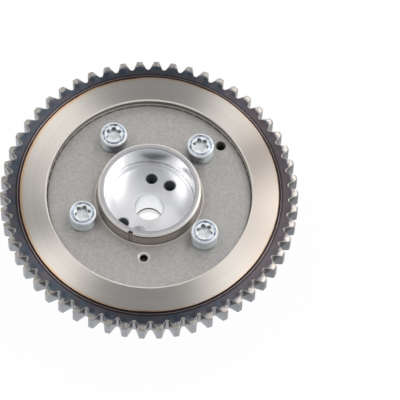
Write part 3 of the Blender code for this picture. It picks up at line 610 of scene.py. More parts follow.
def bevel_steel(gear):
    """Tooth bevel: blue-black oxide that gives way to bare, ground steel towards the tip; painted highlight
    along the flanks, painted light towards +X.
    """
    tones, rim = gear.finish, gear.rim
    material, tree, place = start_material("ground_bevel_steel")
    radius, flank, _ = tooth_places(rim, tree, place)
    x = add(tree, "ShaderNodeSeparateXYZ", {0: place})
    fine, skin = rough_skin(tree, place, 0.5, 0.42, 0.62, 0.06)
    patch = add(tree, "ShaderNodeTexNoise",
                {"Vector": place, "Scale": 1 / (1.1 * MM), "Detail": 3.0, "Roughness": 0.6})
    # the oxide gives way over 1.7 mm of the bevel, in patches, and a thin pale line along the flanks is a
    # painted highlight
    start = tip_radius(rim) - rim.bevel_height
    worn = add(tree, "ShaderNodeMath", {0: patch, 1: 2.4 * MM, 2: radius}, operation="MULTIPLY_ADD")
    near = add(tree, "ShaderNodeMath", {0: fine, 1: -0.9 * MM, 2: flank}, operation="MULTIPLY_ADD")
    ground = laid_over(
        tree, rgba(tones.bevel, 0.62),
        (rgba(tones.bevel), patch, 0.38, 0.62),
        # painted light: the bevels grow paler towards +X
        (rgba(tones.bare), x, 5 * MM, 50 * MM))
    base = laid_over(
        tree, rgba(tones.blued),
        (ground, worn, start + 0.9 * MM, start + 2.6 * MM),
        (rgba(tones.bevel, 1.15), near, 0.05 * MM, -0.35 * MM))
    return close_material(material, {**skin, "Base Color": base, "Metallic": 0.5})


def flank_steel(gear):
    """Hardened tooth flanks: pressed steel, smoothed by the chain.

    A dark wedge on each flank, deepest beside the gap, is painted shade where the flank mirrors its
    shadowed neighbour. The flanks also darken towards +X, as painted shade.
    """
    tones, rim = gear.finish, gear.rim
    material, tree, place = start_material("hardened_flank_steel")
    fine, skin = rough_skin(tree, place, 0.5, 0.22, 0.4, 0.05)
    radius, _, gap = tooth_places(rim, tree, place)
    x, _, height = add(tree, "ShaderNodeSeparateXYZ", {0: place}).node.outputs
    # the wedge's upper edge rises by a tooth's height over the tooth's width
    slope = rim.tooth_height / rim.tooth_width
    low = tip_radius(rim) - rim.tooth_height - slope * (HOUSING_HIGH.z - rim.rim_step)
    rise = add(tree, "ShaderNodeMath", {0: height, 1: -slope, 2: radius}, operation="MULTIPLY_ADD")
    rise = add(tree, "ShaderNodeMath", {0: fine, 1: 0.9 * MM, 2: rise}, operation="MULTIPLY_ADD")
    beside = add(tree, "ShaderNodeMapRange", {0: gap, 1: 0.45 * MM, 2: 0.75 * MM},
                 interpolation_type="SMOOTHSTEP")
    high = add(tree, "ShaderNodeMapRange", {0: rise, 1: low + 3.6 * MM, 2: low + 2.9 * MM},
               interpolation_type="SMOOTHSTEP")
    wedge = add(tree, "ShaderNodeMath", {0: beside, 1: high}, operation="MULTIPLY")
    base = laid_over(
        tree, rgba(tones.flank, 0.66),
        (rgba(tones.flank), fine, 0.35, 0.6),
        # painted shade: the flanks darken towards +X, and a dark wedge lies beside each gap
        (rgba(tones.flank, 0.42), x, 20 * MM, 46 * MM),
        (rgba(tones.oxide), wedge, 0.0, 1.0))
    return close_material(material, {**skin, "Base Color": base})


def mottled(tree, place, fine, cloud_size, tone, low_share):
    """Tone that a fine pattern and soft clouds of a size in millimetres darken to a share."""
    cloud = add(tree, "ShaderNodeTexNoise",
                {"Vector": place, "Scale": 1 / (cloud_size * MM), "Detail": 3.0})
    both = add(tree, "ShaderNodeMath", {0: cloud, 1: fine}, operation="ADD")
    return laid_over(tree, rgba(tone, low_share), (rgba(tone), both, 0.7, 1.3), steps="LINEAR")


def grained_metal(name, tone, low_share, grain, roughness, depth, spread=0.08, cloud_size=9.0,
                  metallic=1.0):
    """Metal with an uneven tone and a fine grain that breaks up its shine.

    The grain, its depth and the size of the clouds are in millimetres. A metallic share below 1
    stands for a torn or crystalline surface that also scatters light.
    """
    material, tree, place = start_material(name)
    fine, skin = rough_skin(tree, place, grain, roughness - spread, roughness + spread, depth)
    base = mottled(tree, place, fine, cloud_size, tone, low_share)
    return close_material(material, {**skin, "Base Color": base, "Metallic": metallic})


def turned_metal(name, tone, roughness, anisotropy, groove, depth, low_share=0.9, metallic=1.0):
    """Metal cut on a lathe: fine rings that stretch the light across the cut.

    The groove and its depth are in millimetres. A metallic share below 1 stands for a cut so fine
    and torn that it scatters light as pale paint does.
    """
    material, tree, place = start_material(name)
    around = add(tree, "ShaderNodeUVMap", uv_map=TURNING_MAP)
    across = add(tree, "ShaderNodeSeparateXYZ", {0: around})
    rings = add(tree, "ShaderNodeTexNoise", {"W": across, "Scale": 1 / (UV_SCALE * groove * MM),
                                             "Detail": 3.0, "Roughness": 0.6}, noise_dimensions="1D")
    base = mottled(tree, place, rings, 6.0, tone, low_share)
    bump = add(tree, "ShaderNodeBump", {"Strength": 0.3, "Distance": depth * MM, "Height": rings})
    tangent = add(tree, "ShaderNodeTangent", direction_type="UV_MAP", uv_map=TURNING_MAP)
    return close_material(material, {"Base Color": base, "Metallic": metallic, "Roughness": roughness,
                                     "Anisotropic": anisotropy, "Normal": bump, "Tangent": tangent})


def plated_side(gear):
    """Zinc plating on a screw's side: bluish above and paler towards the seat, a painted reflection of the
    plate.

    The side towards the collar is darker: painted shade from the collar.
    """
    tones, top, circle = gear.finish, SCREW_HIGH.z, gear.housing.screw_circle
    material, tree, place = start_material("zinc_plated_side")
    skin = rough_skin(tree, place, 0.4, 0.2, 0.32, 0.006)[1]
    height = add(tree, "ShaderNodeSeparateXYZ", {0: place}, 2)
    base = laid_over(
        tree, rgba(tones.zinc, 1.15),
        # painted reflection: paler towards the seat
        (rgba(tones.painted_seat_reflection), height, top - 1.0 * MM, top - 4.6 * MM),
        # painted shade: darker on the side towards the collar
        (rgba(tones.zinc, 0.3), axis_distance(tree, place), circle - 1.0 * MM, circle - 4.0 * MM))
    return close_material(material, {**skin, "Base Color": base, "Metallic": 0.4})


def recess_wall(gear):
    """Zinc plating in a screw's recess: dull greenish flutes between ridges that the driver rubbed white.

    The tone follows cos 6a, which is 1 in the middle of a flute and -1 on a ridge.
    """
    tones = gear.finish
    material, tree, place = start_material("zinc_recess_wall")
    fine, skin = rough_skin(tree, place, 0.4, 0.28, 0.42, 0.05)
    around = add(tree, "ShaderNodeUVMap", uv_map=TURNING_MAP)
    around = add(tree, "ShaderNodeSeparateXYZ", {0: around}, 1)
    around = add(tree, "ShaderNodeMath", {0: around, 1: LOBES * TURN}, operation="MULTIPLY")
    wave = add(tree, "ShaderNodeMath", {0: around}, operation="COSINE")
    uneven = add(tree, "ShaderNodeMath", {0: fine, 1: 3.0, 2: wave}, operation="MULTIPLY_ADD")
    base = laid_over(tree, rgba(tones.socket), (rgba(tones.zinc, 1.15), uneven, 1.2, 0.5))
    return close_material(material, {**skin, "Base Color": base, "Metallic": 0.4})


def seal_plastic(gear):
    """Filled plastic, moulded: dark brown with a waxy, slightly mottled surface."""
    tone = gear.finish.seal
    material, tree, place = start_material("moulded_filled_plastic")
    fleck = add(tree, "ShaderNodeTexNoise", {"Vector": place, "Scale": 1 / (0.6 * MM), "Detail": 3.0})
    base = laid_over(tree, rgba(tone, 0.7), (rgba(tone), fleck, 0.3, 0.7))
    bump = add(tree, "ShaderNodeBump", {"Strength": 0.3, "Distance": 0.02 * MM, "Height": fleck})
    return close_material(material, {"Base Color": base, "Roughness": 0.45, "Normal": bump})


# Pieces

def screw_holes(housing, half, band, spare=0.0):
    """The four screw holes as ring_face takes them, with the half angle in degrees."""
    return [(middle, housing.screw_circle, housing.screw_hole + spare, math.radians(half), band)
            for middle in SCREW_ANGLES]


def tooth_outline(rim):
    """Radius and angle of the tooth outline in every column, and the angle from the tooth's centre line.

    Half a pitch is the gullet arc c + g (-cos s, sin s), a straight flank that touches it, a
    quadratic curve round the corner and the land at the tip radius. The half is mirrored about the
    tooth's centre line and repeated for each tooth.
    """
    pitch, tip = TURN / rim.tooth_count, tip_radius(rim)
    middle, g = tip - rim.tooth_height + rim.gullet_radius, rim.gullet_radius
    corner_angle = pitch / 2 - rim.tip_land / 2 / tip
    corner = tip * np.array([math.cos(corner_angle), math.sin(corner_angle)])
    reach = corner - (middle, 0)
    tilt = math.atan2(reach[1], reach[0]) - math.asin(g / np.linalg.norm(reach))
    s = np.linspace(0, math.pi / 2 - tilt, 7)
    gullet = np.stack([middle - g * np.cos(s), g * np.sin(s)], -1)
    # the curve starts and ends this far from the corner
    ease = 0.35 * MM
    flank = (corner - gullet[-1]) / np.linalg.norm(corner - gullet[-1])
    before = corner - ease * flank
    after = tip * np.array([math.cos(corner_angle + ease / tip), math.sin(corner_angle + ease / tip)])
    t = np.linspace(0, 1, 4)[:, None]
    curve = (1 - t) ** 2 * before + 2 * t * (1 - t) * corner + t ** 2 * after
    run = gullet[-1] + np.array([[0.35], [0.7]]) * (before - gullet[-1])
    land = tip * np.array([[math.cos(pitch / 2), math.sin(pitch / 2)]])
    half = np.concatenate([gullet, run, curve, land])
    radius, turn = np.hypot(*half.T), np.arctan2(half[:, 1], half[:, 0])
    radius = np.concatenate([radius, radius[-2:0:-1]])
    turn = np.concatenate([turn, pitch - turn[-2:0:-1]])
    starts = rim.tooth_phase + (np.arange(rim.tooth_count) - 0.5) * pitch
    columns = (starts[:, None] + turn).ravel()
    radius, off = np.tile(radius, rim.tooth_count), np.tile(turn - pitch / 2, rim.tooth_count)
    columns = np.append(columns, columns[0] + TURN)
    return np.append(radius, radius[0]), columns, np.append(off, off[0]), pitch


def sprocket_patches(gear):
    """Toothed ring, turned face, barrel and chambers, as closed rows round the axis.

    The front bevel is the straight surface between the tooth outline, dropped by
    d = break + (drop - break) (r - bevel radius) / bevel height, and a shoulder line on the rim.
    """
    turned_face, blued, ground, flank, sintered, skin, painted_edge_highlight, painted_highlight, foot = range(9)
    rim, housing, recess = gear.rim, gear.housing, gear.rim.recess_radius
    outline, columns, off, pitch = tooth_outline(rim)
    half = housing.lobe_half_angle
    order, masks = spans_of_columns(columns, [(middle - half, middle + half) for middle in SCREW_ANGLES])
    outline, columns, off = outline[order], columns[order], off[order]
    face, low, ledge, plate_z = HOUSING_HIGH.z, HOUSING_LOW.z, ROTOR_HIGH.z, PLATE_HIGH.z
    rim_z = face - rim.rim_step
    back_z = rim_z - rim.tooth_width
    bevel_radius = outline.max() - rim.bevel_height
    rise = np.clip(outline - bevel_radius, 0, None) / rim.bevel_height
    # towards the tip the shoulder line leans a third of the way to the tooth's middle
    lean = columns - off * 0.35 * rise
    # the shoulder line runs just inside the tooth gaps, and behind the teeth at the bevel's foot
    shoulder = np.minimum(outline - rim.edge_break, bevel_radius - rim.edge_break * np.abs(off / pitch))
    drop = rim.edge_break + (rim.bevel_drop - rim.edge_break) * rise

    # a lip in the recess wall narrows the gap round the plate
    lip = PLATE_HIGH.x + 0.06 * MM
    bead_in = rim.face_radius + rim.rim_step
    face_patch = turned([
        (recess, ledge, 0, sintered),
        (recess, plate_z - 0.6 * MM, 0, flank),
        (lip, plate_z - 0.6 * MM, 0, flank),
        (lip, plate_z - 0.4 * MM, 0, flank),
        # a paler band at the foot of the recess wall
        (recess, plate_z - 0.4 * MM, 0, foot),
        # painted shade: the recess wall above it is darkened
        (recess, plate_z + 1.1 * MM, 0, skin),
        # the recess edge and a 0.3 mm band of the face beside it: a painted highlight
        (recess, face - 0.3 * MM, 0.08 * MM, painted_edge_highlight),
        (recess + 0.3 * MM, face, 0.08 * MM, painted_edge_highlight),
        (recess + 0.6 * MM, face, 0, turned_face),
        (rim.face_radius, face, 0.08 * MM, blued),
        (bead_in - 0.1 * MM, rim_z, 0.05 * MM, blued),
        (bead_in, rim_z, 0, blued),
    ], columns)
    bead = [(bead_in + rim.bead_width * k, rim_z + rim.rim_step / 2 * math.sin(math.pi * k) ** 2)
            for k in np.linspace(0, 1, 9)]
    rim_rows = bead + [(shoulder - 0.5 * MM, rim_z), (shoulder - 0.08 * MM, rim_z, lean),
                       (shoulder, rim_z - 0.01 * MM, lean)]

    def bevel(share):
        return (shoulder + (outline - shoulder) * share, rim_z - drop * share - 0.01 * MM * (1 - share),
                lean + (columns - lean) * share)

    below, back_edge = rim_z - drop, back_z + rim.back_bevel
    edge_rows = [bevel(0.8), bevel(0.96), (outline, below - 0.14 * MM)]
    flank_rows = [edge_rows[-1], (outline, below - 0.4 * MM), (outline, (below + back_z) / 2),
                  (outline, back_edge + 0.1 * MM), (outline - 0.05 * MM, back_edge - 0.05 * MM),
                  (outline - rim.back_bevel, back_z)]
    barrel_patch = turned([
        (rim.face_radius, back_z, 0, sintered),
        (rim.barrel_radius, back_z, 1.2 * MM, sintered),
        (rim.barrel_radius, low + 0.8 * MM, 0.15 * MM, sintered),
        (rim.barrel_radius - 0.8 * MM, low, 0.15 * MM, sintered),
        (recess, low, 0, sintered),
    ], columns)
    bore = np.where(np.any(masks, axis=0), housing.bore_radius, housing.chamber_radius)
    radii = [bore, np.maximum(bore, housing.band_split), recess]
    holes = screw_holes(housing, 11.2, 0)
    timing = (housing.timing_angle, housing.timing_circle, housing.timing_radius, math.radians(5), 1)
    top, top_rims = ring_face(radii, ledge, columns, holes + [timing], sintered, 3)
    bottom, low_rims = ring_face(radii, low, columns, holes, sintered, 3)
    patches = [
        face_patch,
        revolve(rim_rows, columns, blued),
        revolve([bevel(share) for share in (0, 0.08, 0.45, 0.8)], columns, ground),
        # the tooth edges take a painted highlight
        revolve(edge_rows, columns, painted_highlight),
        revolve(flank_rows, columns, flank),
        revolve([flank_rows[-1], (rim.face_radius, back_z)], columns, blued),
        barrel_patch,
        revolve([(bore, ledge), (bore, (ledge + low) / 2), (bore, low)], columns, sintered),
    ] + top + bottom
    through = [(housing.screw_hole, ledge), (housing.screw_hole, low)]
    patches += [hole_wall(*facts, sintered) for facts in zip(holes, [through] * 4, top_rims, low_rims)]
    end = plate_z - housing.timing_depth
    blind = [(housing.timing_radius, ledge), (housing.timing_radius, end), (0, end - 0.9 * MM)]
    return patches + [hole_wall(timing, blind, top_rims[-1], finish=sintered)]


def plate_patches(gear):
    """Cover plate: a turned ring whose flat faces are pierced by the screw, timing and vent holes."""
    blasted, worn, bright = range(3)
    plate, housing = gear.plate, gear.housing
    inner, outer, chamfer = plate.hole_radius, PLATE_HIGH.x, plate.chamfer
    low, high = PLATE_LOW.z, PLATE_HIGH.z
    # a lip in the hole narrows the gap round the collar
    lip = gear.collar.outer_radius + 0.1 * MM
    wall = [
        (outer - chamfer - 0.25 * MM, high, 0, blasted),
        (outer - chamfer, high, 0.07 * MM, worn),
        (outer, high - chamfer, 0.07 * MM, blasted),
        (outer, low + 0.15 * MM, 0.05 * MM, blasted),
        (outer - 0.15 * MM, low, 0, blasted),
    ]
    hole = [
        # painted highlight: the ring round the hole and its chamfer
        (inner + chamfer + 0.3 * MM, high, 0, bright),
        (inner + chamfer, high, 0.07 * MM, bright),
        (inner, high - chamfer, 0.07 * MM, blasted),
        (lip, high - chamfer, 0, blasted),
        (lip, high - 0.6 * MM, 0, blasted),
        (inner, high - 0.6 * MM, 0, blasted),
        (inner, low, 0, blasted),
    ]
    vent, timing = plate.vent_radius, housing.timing_radius
    wide_vent, wide_timing = vent + plate.vent_sink, timing + chamfer

    def holes(vent_size, timing_size):
        return screw_holes(housing, 13, 1) + [
            (housing.lock_angle, housing.lock_circle, vent_size, math.radians(12), 1),
            (housing.timing_angle, housing.timing_circle, timing_size, math.radians(6), 2)]

    top_holes = holes(wide_vent, wide_timing)
    top_radii = [hole[0][0], inner + 0.6 * MM, housing.band_split, outer - 1.2 * MM, wall[0][0]]
    low_radii = [inner, inner + 0.6 * MM, housing.band_split, outer - 0.8 * MM, wall[-1][0]]
    top, above = ring_face(top_radii, high, COLUMNS, top_holes)
    bottom, under = ring_face(low_radii, low, COLUMNS, holes(plate.pocket_radius, timing))
    patches = [turned(wall, COLUMNS), turned(hole, COLUMNS)] + top + bottom
    roof, sink_end = low + plate.pocket_depth, (vent, high - plate.vent_sink)
    sink = [(wide_vent, high), (wide_vent - 0.12 * MM, high - 0.08 * MM), sink_end]
    # the vent's countersink takes the same painted highlight
    patches.append(hole_wall(top_holes[4], sink, above[4], finish=bright))
    profiles = [[(housing.screw_hole, high), (housing.screw_hole, low)]] * 4 + [
        [sink_end, (vent, roof), (plate.pocket_radius, roof), (plate.pocket_radius, low)],
        [(wide_timing, high), (timing + 0.04 * MM, high - chamfer),
         (timing, high - chamfer - 0.06 * MM), (timing, low)]]
    return patches + [hole_wall(*facts) for facts in zip(top_holes, profiles, above, under)]


def front_cover_patches(gear):
    """Front cover: a turned ring with four threaded holes and a seam chamfer."""
    cover, housing, inner = gear.cover, gear.housing, gear.cover.bore_radius
    low, high = COVER_LOW.z, COVER_HIGH.z
    outer, big, small = gear.rim.barrel_radius, cover.outer_chamfer, cover.inner_chamfer
    wall = [
        (outer - small - 0.05 * MM, high, 0, 0),
        (outer - small, high, 0.04 * MM, 0),
        (outer, high - small, 0.08 * MM, 0),
        (outer, low + big, 0.2 * MM, 0),
        (outer - big, low, 0.2 * MM, 0),
        (outer - big - 0.3 * MM, low, 0, 0),
    ]
    bore = [
        (inner + big + 0.3 * MM, low, 0, 0),
        (inner + big, low, 0.15 * MM, 0),
        (inner, low + big, 0.15 * MM, 0),
        (inner, high, 0, 0),
    ]
    radii, sink = (housing.bore_radius, housing.band_split), 0.35 * MM
    holes, sunk = screw_holes(housing, 13, 1), screw_holes(housing, 13, 1, sink)
    top, above = ring_face([inner, *radii, wall[0][0]], high, COLUMNS, holes)
    bottom, under = ring_face([bore[0][0], *radii, wall[-1][0]], low, COLUMNS, sunk)
    thread = housing.screw_hole
    profile = [(thread, high), (thread, low + sink), (thread + sink, low)]
    walls = [hole_wall(*facts) for facts in zip(holes, [profile] * 4, above, under)]
    return [turned(wall, COLUMNS), turned(bore, COLUMNS)] + top + bottom + walls


def screw_patches(gear, middle, spin):
    """One cover screw, screwed home at a spin.

    Every row is a circle, and in the recess r = mean + wave cos 6a.
    """
    side, groove_finish, painted_highlight, recess, crystal = range(5)
    screw, circle = gear.screw, gear.housing.screw_circle
    shank, head, thin = screw.shank_radius, screw.head_radius, screw.shank_radius / 4
    top, seat, tip = SCREW_HIGH.z, SCREW_HIGH.z - screw.head_height, SCREW_LOW.z
    columns = np.linspace(0, TURN, 97)
    # the head's rounded edge, its top ring and the recess lip take a painted highlight
    outside = turned([
        (0, tip, 0, side),
        (shank - thin, tip, 0.1 * MM, side),
        (shank, tip + thin, 0.1 * MM, side),
        (shank, seat, 0, side),
        (head - 0.2 * MM, seat, 0.05 * MM, side),
        (head, seat + 0.2 * MM, 0.1 * MM, side),
        (head, top - screw.head_chamfer, 0.2 * MM, painted_highlight),
        (head - 0.7 * screw.head_chamfer, top, 0.3 * MM, painted_highlight),
        (screw.groove_radius + screw.groove_width / 2, top, 0, groove_finish),
    ], columns, 4)
    share = np.linspace(0, 1, 9)
    groove = np.stack([screw.groove_radius + screw.groove_width * (0.5 - share),
                       top - screw.groove_depth * np.sin(math.pi * share) ** 0.7], -1)
    # the recess: a rounded lip, a wall of flutes and ridges, and a floor that falls to the middle
    wave = screw.recess_radius + screw.recess_wave * np.cos(LOBES * columns)
    floor = top - screw.recess_depth
    lip = [(groove[-1][0], top), (wave + 0.15 * MM, top), (wave + 0.04 * MM, top - 0.03 * MM),
           (wave, top - 0.15 * MM)]
    wall = [lip[-1], (wave, floor + 0.25 * MM), (wave * 0.94, floor + 0.05 * MM)]
    pit = [wall[-1], (wave * 0.6, floor - 0.15 * MM), (0 * wave, floor - 0.5 * MM)]
    patches = [outside] + [revolve(rows, columns, finish) for rows, finish in (
        (groove, groove_finish), (lip, painted_highlight), (wall, recess), (pit, crystal))]
    turn = np.array([[math.cos(spin), math.sin(spin), 0], [-math.sin(spin), math.cos(spin), 0], [0, 0, 1]])
    shift = np.array([circle * math.cos(middle), circle * math.sin(middle), 0])
    return [(points @ turn + shift, uv, finish, keep) for points, uv, finish, keep in patches]


def collar_patches(gear):
    """Collar: a turned ring, cut back to r = outer - d by a notch.

    The notch's depth d falls off evenly from its middle.
    """
    outside, honed, faced, painted_edge_highlight, painted_shade = range(5)
    collar = gear.collar
    low, high = COLLAR_LOW.z, COLLAR_HIGH.z
    outer, bore = collar.outer_radius, collar.bore_radius
    # the notch keeps its full depth over the top 1.8 mm, and its sides take up 0.7 of its half width
    notch, notch_full, side = collar.notch_angle % TURN, 1.8 * MM, 0.7 * collar.notch_half_width
    # closer columns where the notch is, over 8 degrees
    near = np.linspace(-0.07, 0.07, 41) + notch
    columns = np.unique(np.concatenate([np.linspace(0, TURN, 361), near]))
    off = np.abs(columns - notch) * outer
    depth = collar.notch_depth * np.clip((collar.notch_half_width - off) / side, 0, 1)
    notch_end = high - collar.notch_length
    points, uv, finish, _ = turned([
        (bore, low + 0.2 * MM, 0, honed),
        (bore, high - collar.inner_chamfer, 0.07 * MM, faced),
        (bore + collar.inner_chamfer, high, 0.07 * MM, faced),
        # painted highlight on the outer chamfer
        (outer - collar.chamfer, high, 0.1 * MM, painted_edge_highlight),
        # painted shade: a dark band under the chamfer
        (outer, high - collar.chamfer, 0.1 * MM, painted_shade),
        (outer, high - collar.chamfer - 0.6 * MM, 0, outside),
        (outer, high - notch_full, 0, outside),
        (outer, notch_end, 0, outside),
    ], columns)
    reach = np.hypot(points[..., 0], points[..., 1])
    left = np.clip((points[..., 2] - notch_end) / (high - notch_full - notch_end), 0, 1)
    points[..., :2] *= (np.minimum(reach, outer - depth * left) / reach)[..., None]
    # painted shade: the notch's faces at the chamfer are darkened too
    notch_shade = (depth[:-1] > 0) & (finish == painted_edge_highlight) & (reach[:-1, :-1] > (bore + outer) / 2)
    under = turned([
        (outer, notch_end, 0, outside),
        (outer, low + 0.3 * MM, 0.05 * MM, outside),
        (outer - 0.3 * MM, low, 0.05 * MM, outside),
        (bore + 0.2 * MM, low, 0.05 * MM, outside),
        (bore, low + 0.2 * MM, 0, outside),
    ], columns)
    return [(points, uv, np.where(notch_shade, painted_shade, finish), None), under]


def rotor_patches(gear):
    """Vane rotor: r = vane, slot or hub radius by column outside, and the stepped pocket inside."""
    bored, faced, cast, drilled, painted_edge_highlight, reamed, painted_shade = range(7)
    rotor, housing = gear.rotor, gear.housing
    low, high, nose = ROTOR_LOW.z + rotor.nose_length, ROTOR_HIGH.z, ROTOR_LOW.z
    floor = HOUSING_HIGH.z - rotor.pocket_depth
    half_slot = math.asin(rotor.slot_width / 2 / rotor.vane_radius)
    slots = [((a + b) / 2 - half_slot, (a + b) / 2 + half_slot) for a, b in VANE_SPANS]
    order, masks = spans_of_columns(COLUMNS, [*VANE_SPANS, *slots])
    columns = COLUMNS[order]
    in_vane, in_slot = (np.any(part, axis=0) for part in (masks[:len(slots)], masks[len(slots):]))
    outer = np.where(in_slot, rotor.slot_floor, np.where(in_vane, rotor.vane_radius, rotor.hub_radius))
    bands = [np.minimum(radius, outer)
             for radius in (rotor.hub_radius + 0.3 * MM, rotor.slot_floor - 1 * MM)]
    pin = (housing.lock_angle, housing.lock_circle, rotor.pin_bore, math.radians(9), 1)
    top, above = ring_face([rotor.counterbore, *bands, outer], high, columns, [pin], cast)
    bottom, under = ring_face([rotor.nose_radius, *bands, outer], low, columns, [pin], cast)
    seat = high - rotor.counterbore_depth
    pocket = turned([
        (rotor.counterbore, high, 0, bored),
        (rotor.counterbore, seat, 0, bored),
        (rotor.floor_radius, seat, 0.12 * MM, bored),
        (rotor.floor_radius, floor, 0.25 * MM, faced),
        (rotor.floor_radius - 0.6 * MM, floor, 0, faced),
    ], columns)
    # an undercut runs round the bolt hole, 3 to 4.4 mm above its lower end; it and the hole's lower chamfer
    # are darkened as painted shade
    sink, through, undercut = rotor.bolt_radius + rotor.bolt_chamfer, rotor.bolt_radius, 0.12 * MM
    bolt = turned([
        (sink + 0.15 * MM, floor, 0, faced),
        (sink, floor, 0.1 * MM, painted_edge_highlight),
        (through, floor - rotor.bolt_chamfer, 0.1 * MM, reamed),
        (through, nose + 4.4 * MM, 0, painted_shade),
        (through + undercut, nose + 4.3 * MM, 0, painted_shade),
        (through + undercut, nose + 3.1 * MM, 0, cast),
        (through, nose + 3.0 * MM, 0, cast),
        (through, nose + rotor.bolt_chamfer, 0.1 * MM, painted_shade),
        (sink + 0.2 * MM, nose, 0.1 * MM, bored),
        (rotor.nose_radius - 0.5 * MM, nose, 0.1 * MM, bored),
        (rotor.nose_radius, nose + 0.5 * MM, 0.1 * MM, bored),
        (rotor.nose_radius, low, 0, bored),
    ], columns)
    chamfer = rotor.hole_chamfer
    holes = [(middle, rotor.oil_circle, rotor.oil_radius + chamfer, math.radians(15), 1)
             for middle in OIL_ANGLES]
    holes.append((rotor.peg_angle, rotor.peg_circle, rotor.peg_radius + chamfer, math.radians(18.3), 1))
    # the middle band of the floor, from 7.3 to 14.9 mm, takes the holes
    floor_radii = [sink + 0.15 * MM, 7.3 * MM, 14.9 * MM, rotor.floor_radius - 0.6 * MM]
    ground, rims = ring_face(floor_radii, floor, columns, holes, faced)
    patches = [pocket, bolt, revolve([(outer, low), (outer, high)], columns, cast)] + top + bottom + ground
    pin_wall = [(rotor.pin_bore, high), (rotor.pin_bore, low)]
    patches.append(hole_wall(pin, pin_wall, above[0], under[0], cast))
    facts = [(rotor.oil_radius, rotor.oil_depth, drilled)] * 3 + [(rotor.peg_radius, rotor.peg_depth, cast)]
    for hole, rim, (radius, depth, finish) in zip(holes, rims, facts):
        end = floor - depth
        edge = [(radius + chamfer, floor), (radius + 0.05 * MM, floor - chamfer + 0.02 * MM),
                (radius, floor - chamfer - 0.1 * MM)]
        wall = [edge[-1], (radius, end), (radius - 0.15 * MM, end - 0.1 * MM), (0, end - 0.5 * radius)]
        # each hole's chamfer takes a painted highlight
        patches += [hole_wall(hole, edge, rim, finish=painted_edge_highlight), hole_wall(hole, wall, rim, finish=finish)]
    return patches


# Stage

def soft_box(context, name, azimuth, elevation, width, height, radiance):
    """Rectangular lamp that faces the part from an azimuth and an elevation.

    Its energy is pi times its radiance times its area.
    """
    lamp = bpy.data.lights.new(name, "AREA")
    lamp.shape, lamp.size, lamp.size_y = "RECTANGLE", width, height
    lamp.energy = radiance * math.pi * width * height
    lamp.color = LAMP_TINT
    level = math.cos(elevation)
    away = Vector((level * math.cos(azimuth), level * math.sin(azimuth), math.sin(elevation)))
    holder = bpy.data.objects.new(name, lamp)
    holder.location = away * LAMP_DISTANCE + Vector((0, 0, HOUSING_HIGH.z))
    holder.rotation_euler = away.to_track_quat("Z", "Y").to_euler()
    context.scene.collection.objects.link(holder)


def camera(context, settings):
    """Long-lens camera, shifted off the part's axis so that the axis meets the face at a set pixel."""
    tilt, roll = settings.tilt, settings.roll
    back = Vector((0, -math.sin(tilt), math.cos(tilt)))
    level, up = Vector((1, 0, 0)), Vector((0, math.cos(tilt), math.sin(tilt)))
    right = math.cos(roll) * level - math.sin(roll) * up
    above = math.sin(roll) * level + math.cos(roll) * up
    pixels = settings.scale / MM * settings.distance
    across, down = ((PICTURE / 2 - middle) / pixels for middle in settings.centre)
    ahead = (-back + right * across - above * down).normalized()
    side = (right - right.dot(ahead) * ahead).normalized()
    axes = Matrix((side, side.cross(ahead), -ahead)).transposed().to_4x4()
    holder = bpy.data.objects.new("camera", bpy.data.cameras.new("camera"))
    holder.data.sensor_width = SENSOR
    holder.data.lens = pixels / PICTURE * SENSOR
    holder.data.clip_end = VIEW_REACH
    eye = Vector((0, 0, HOUSING_HIGH.z)) + back * settings.distance
    holder.matrix_world = Matrix.Translation(eye) @ axes
    context.scene.collection.objects.link(holder)
    context.scene.camera = holder


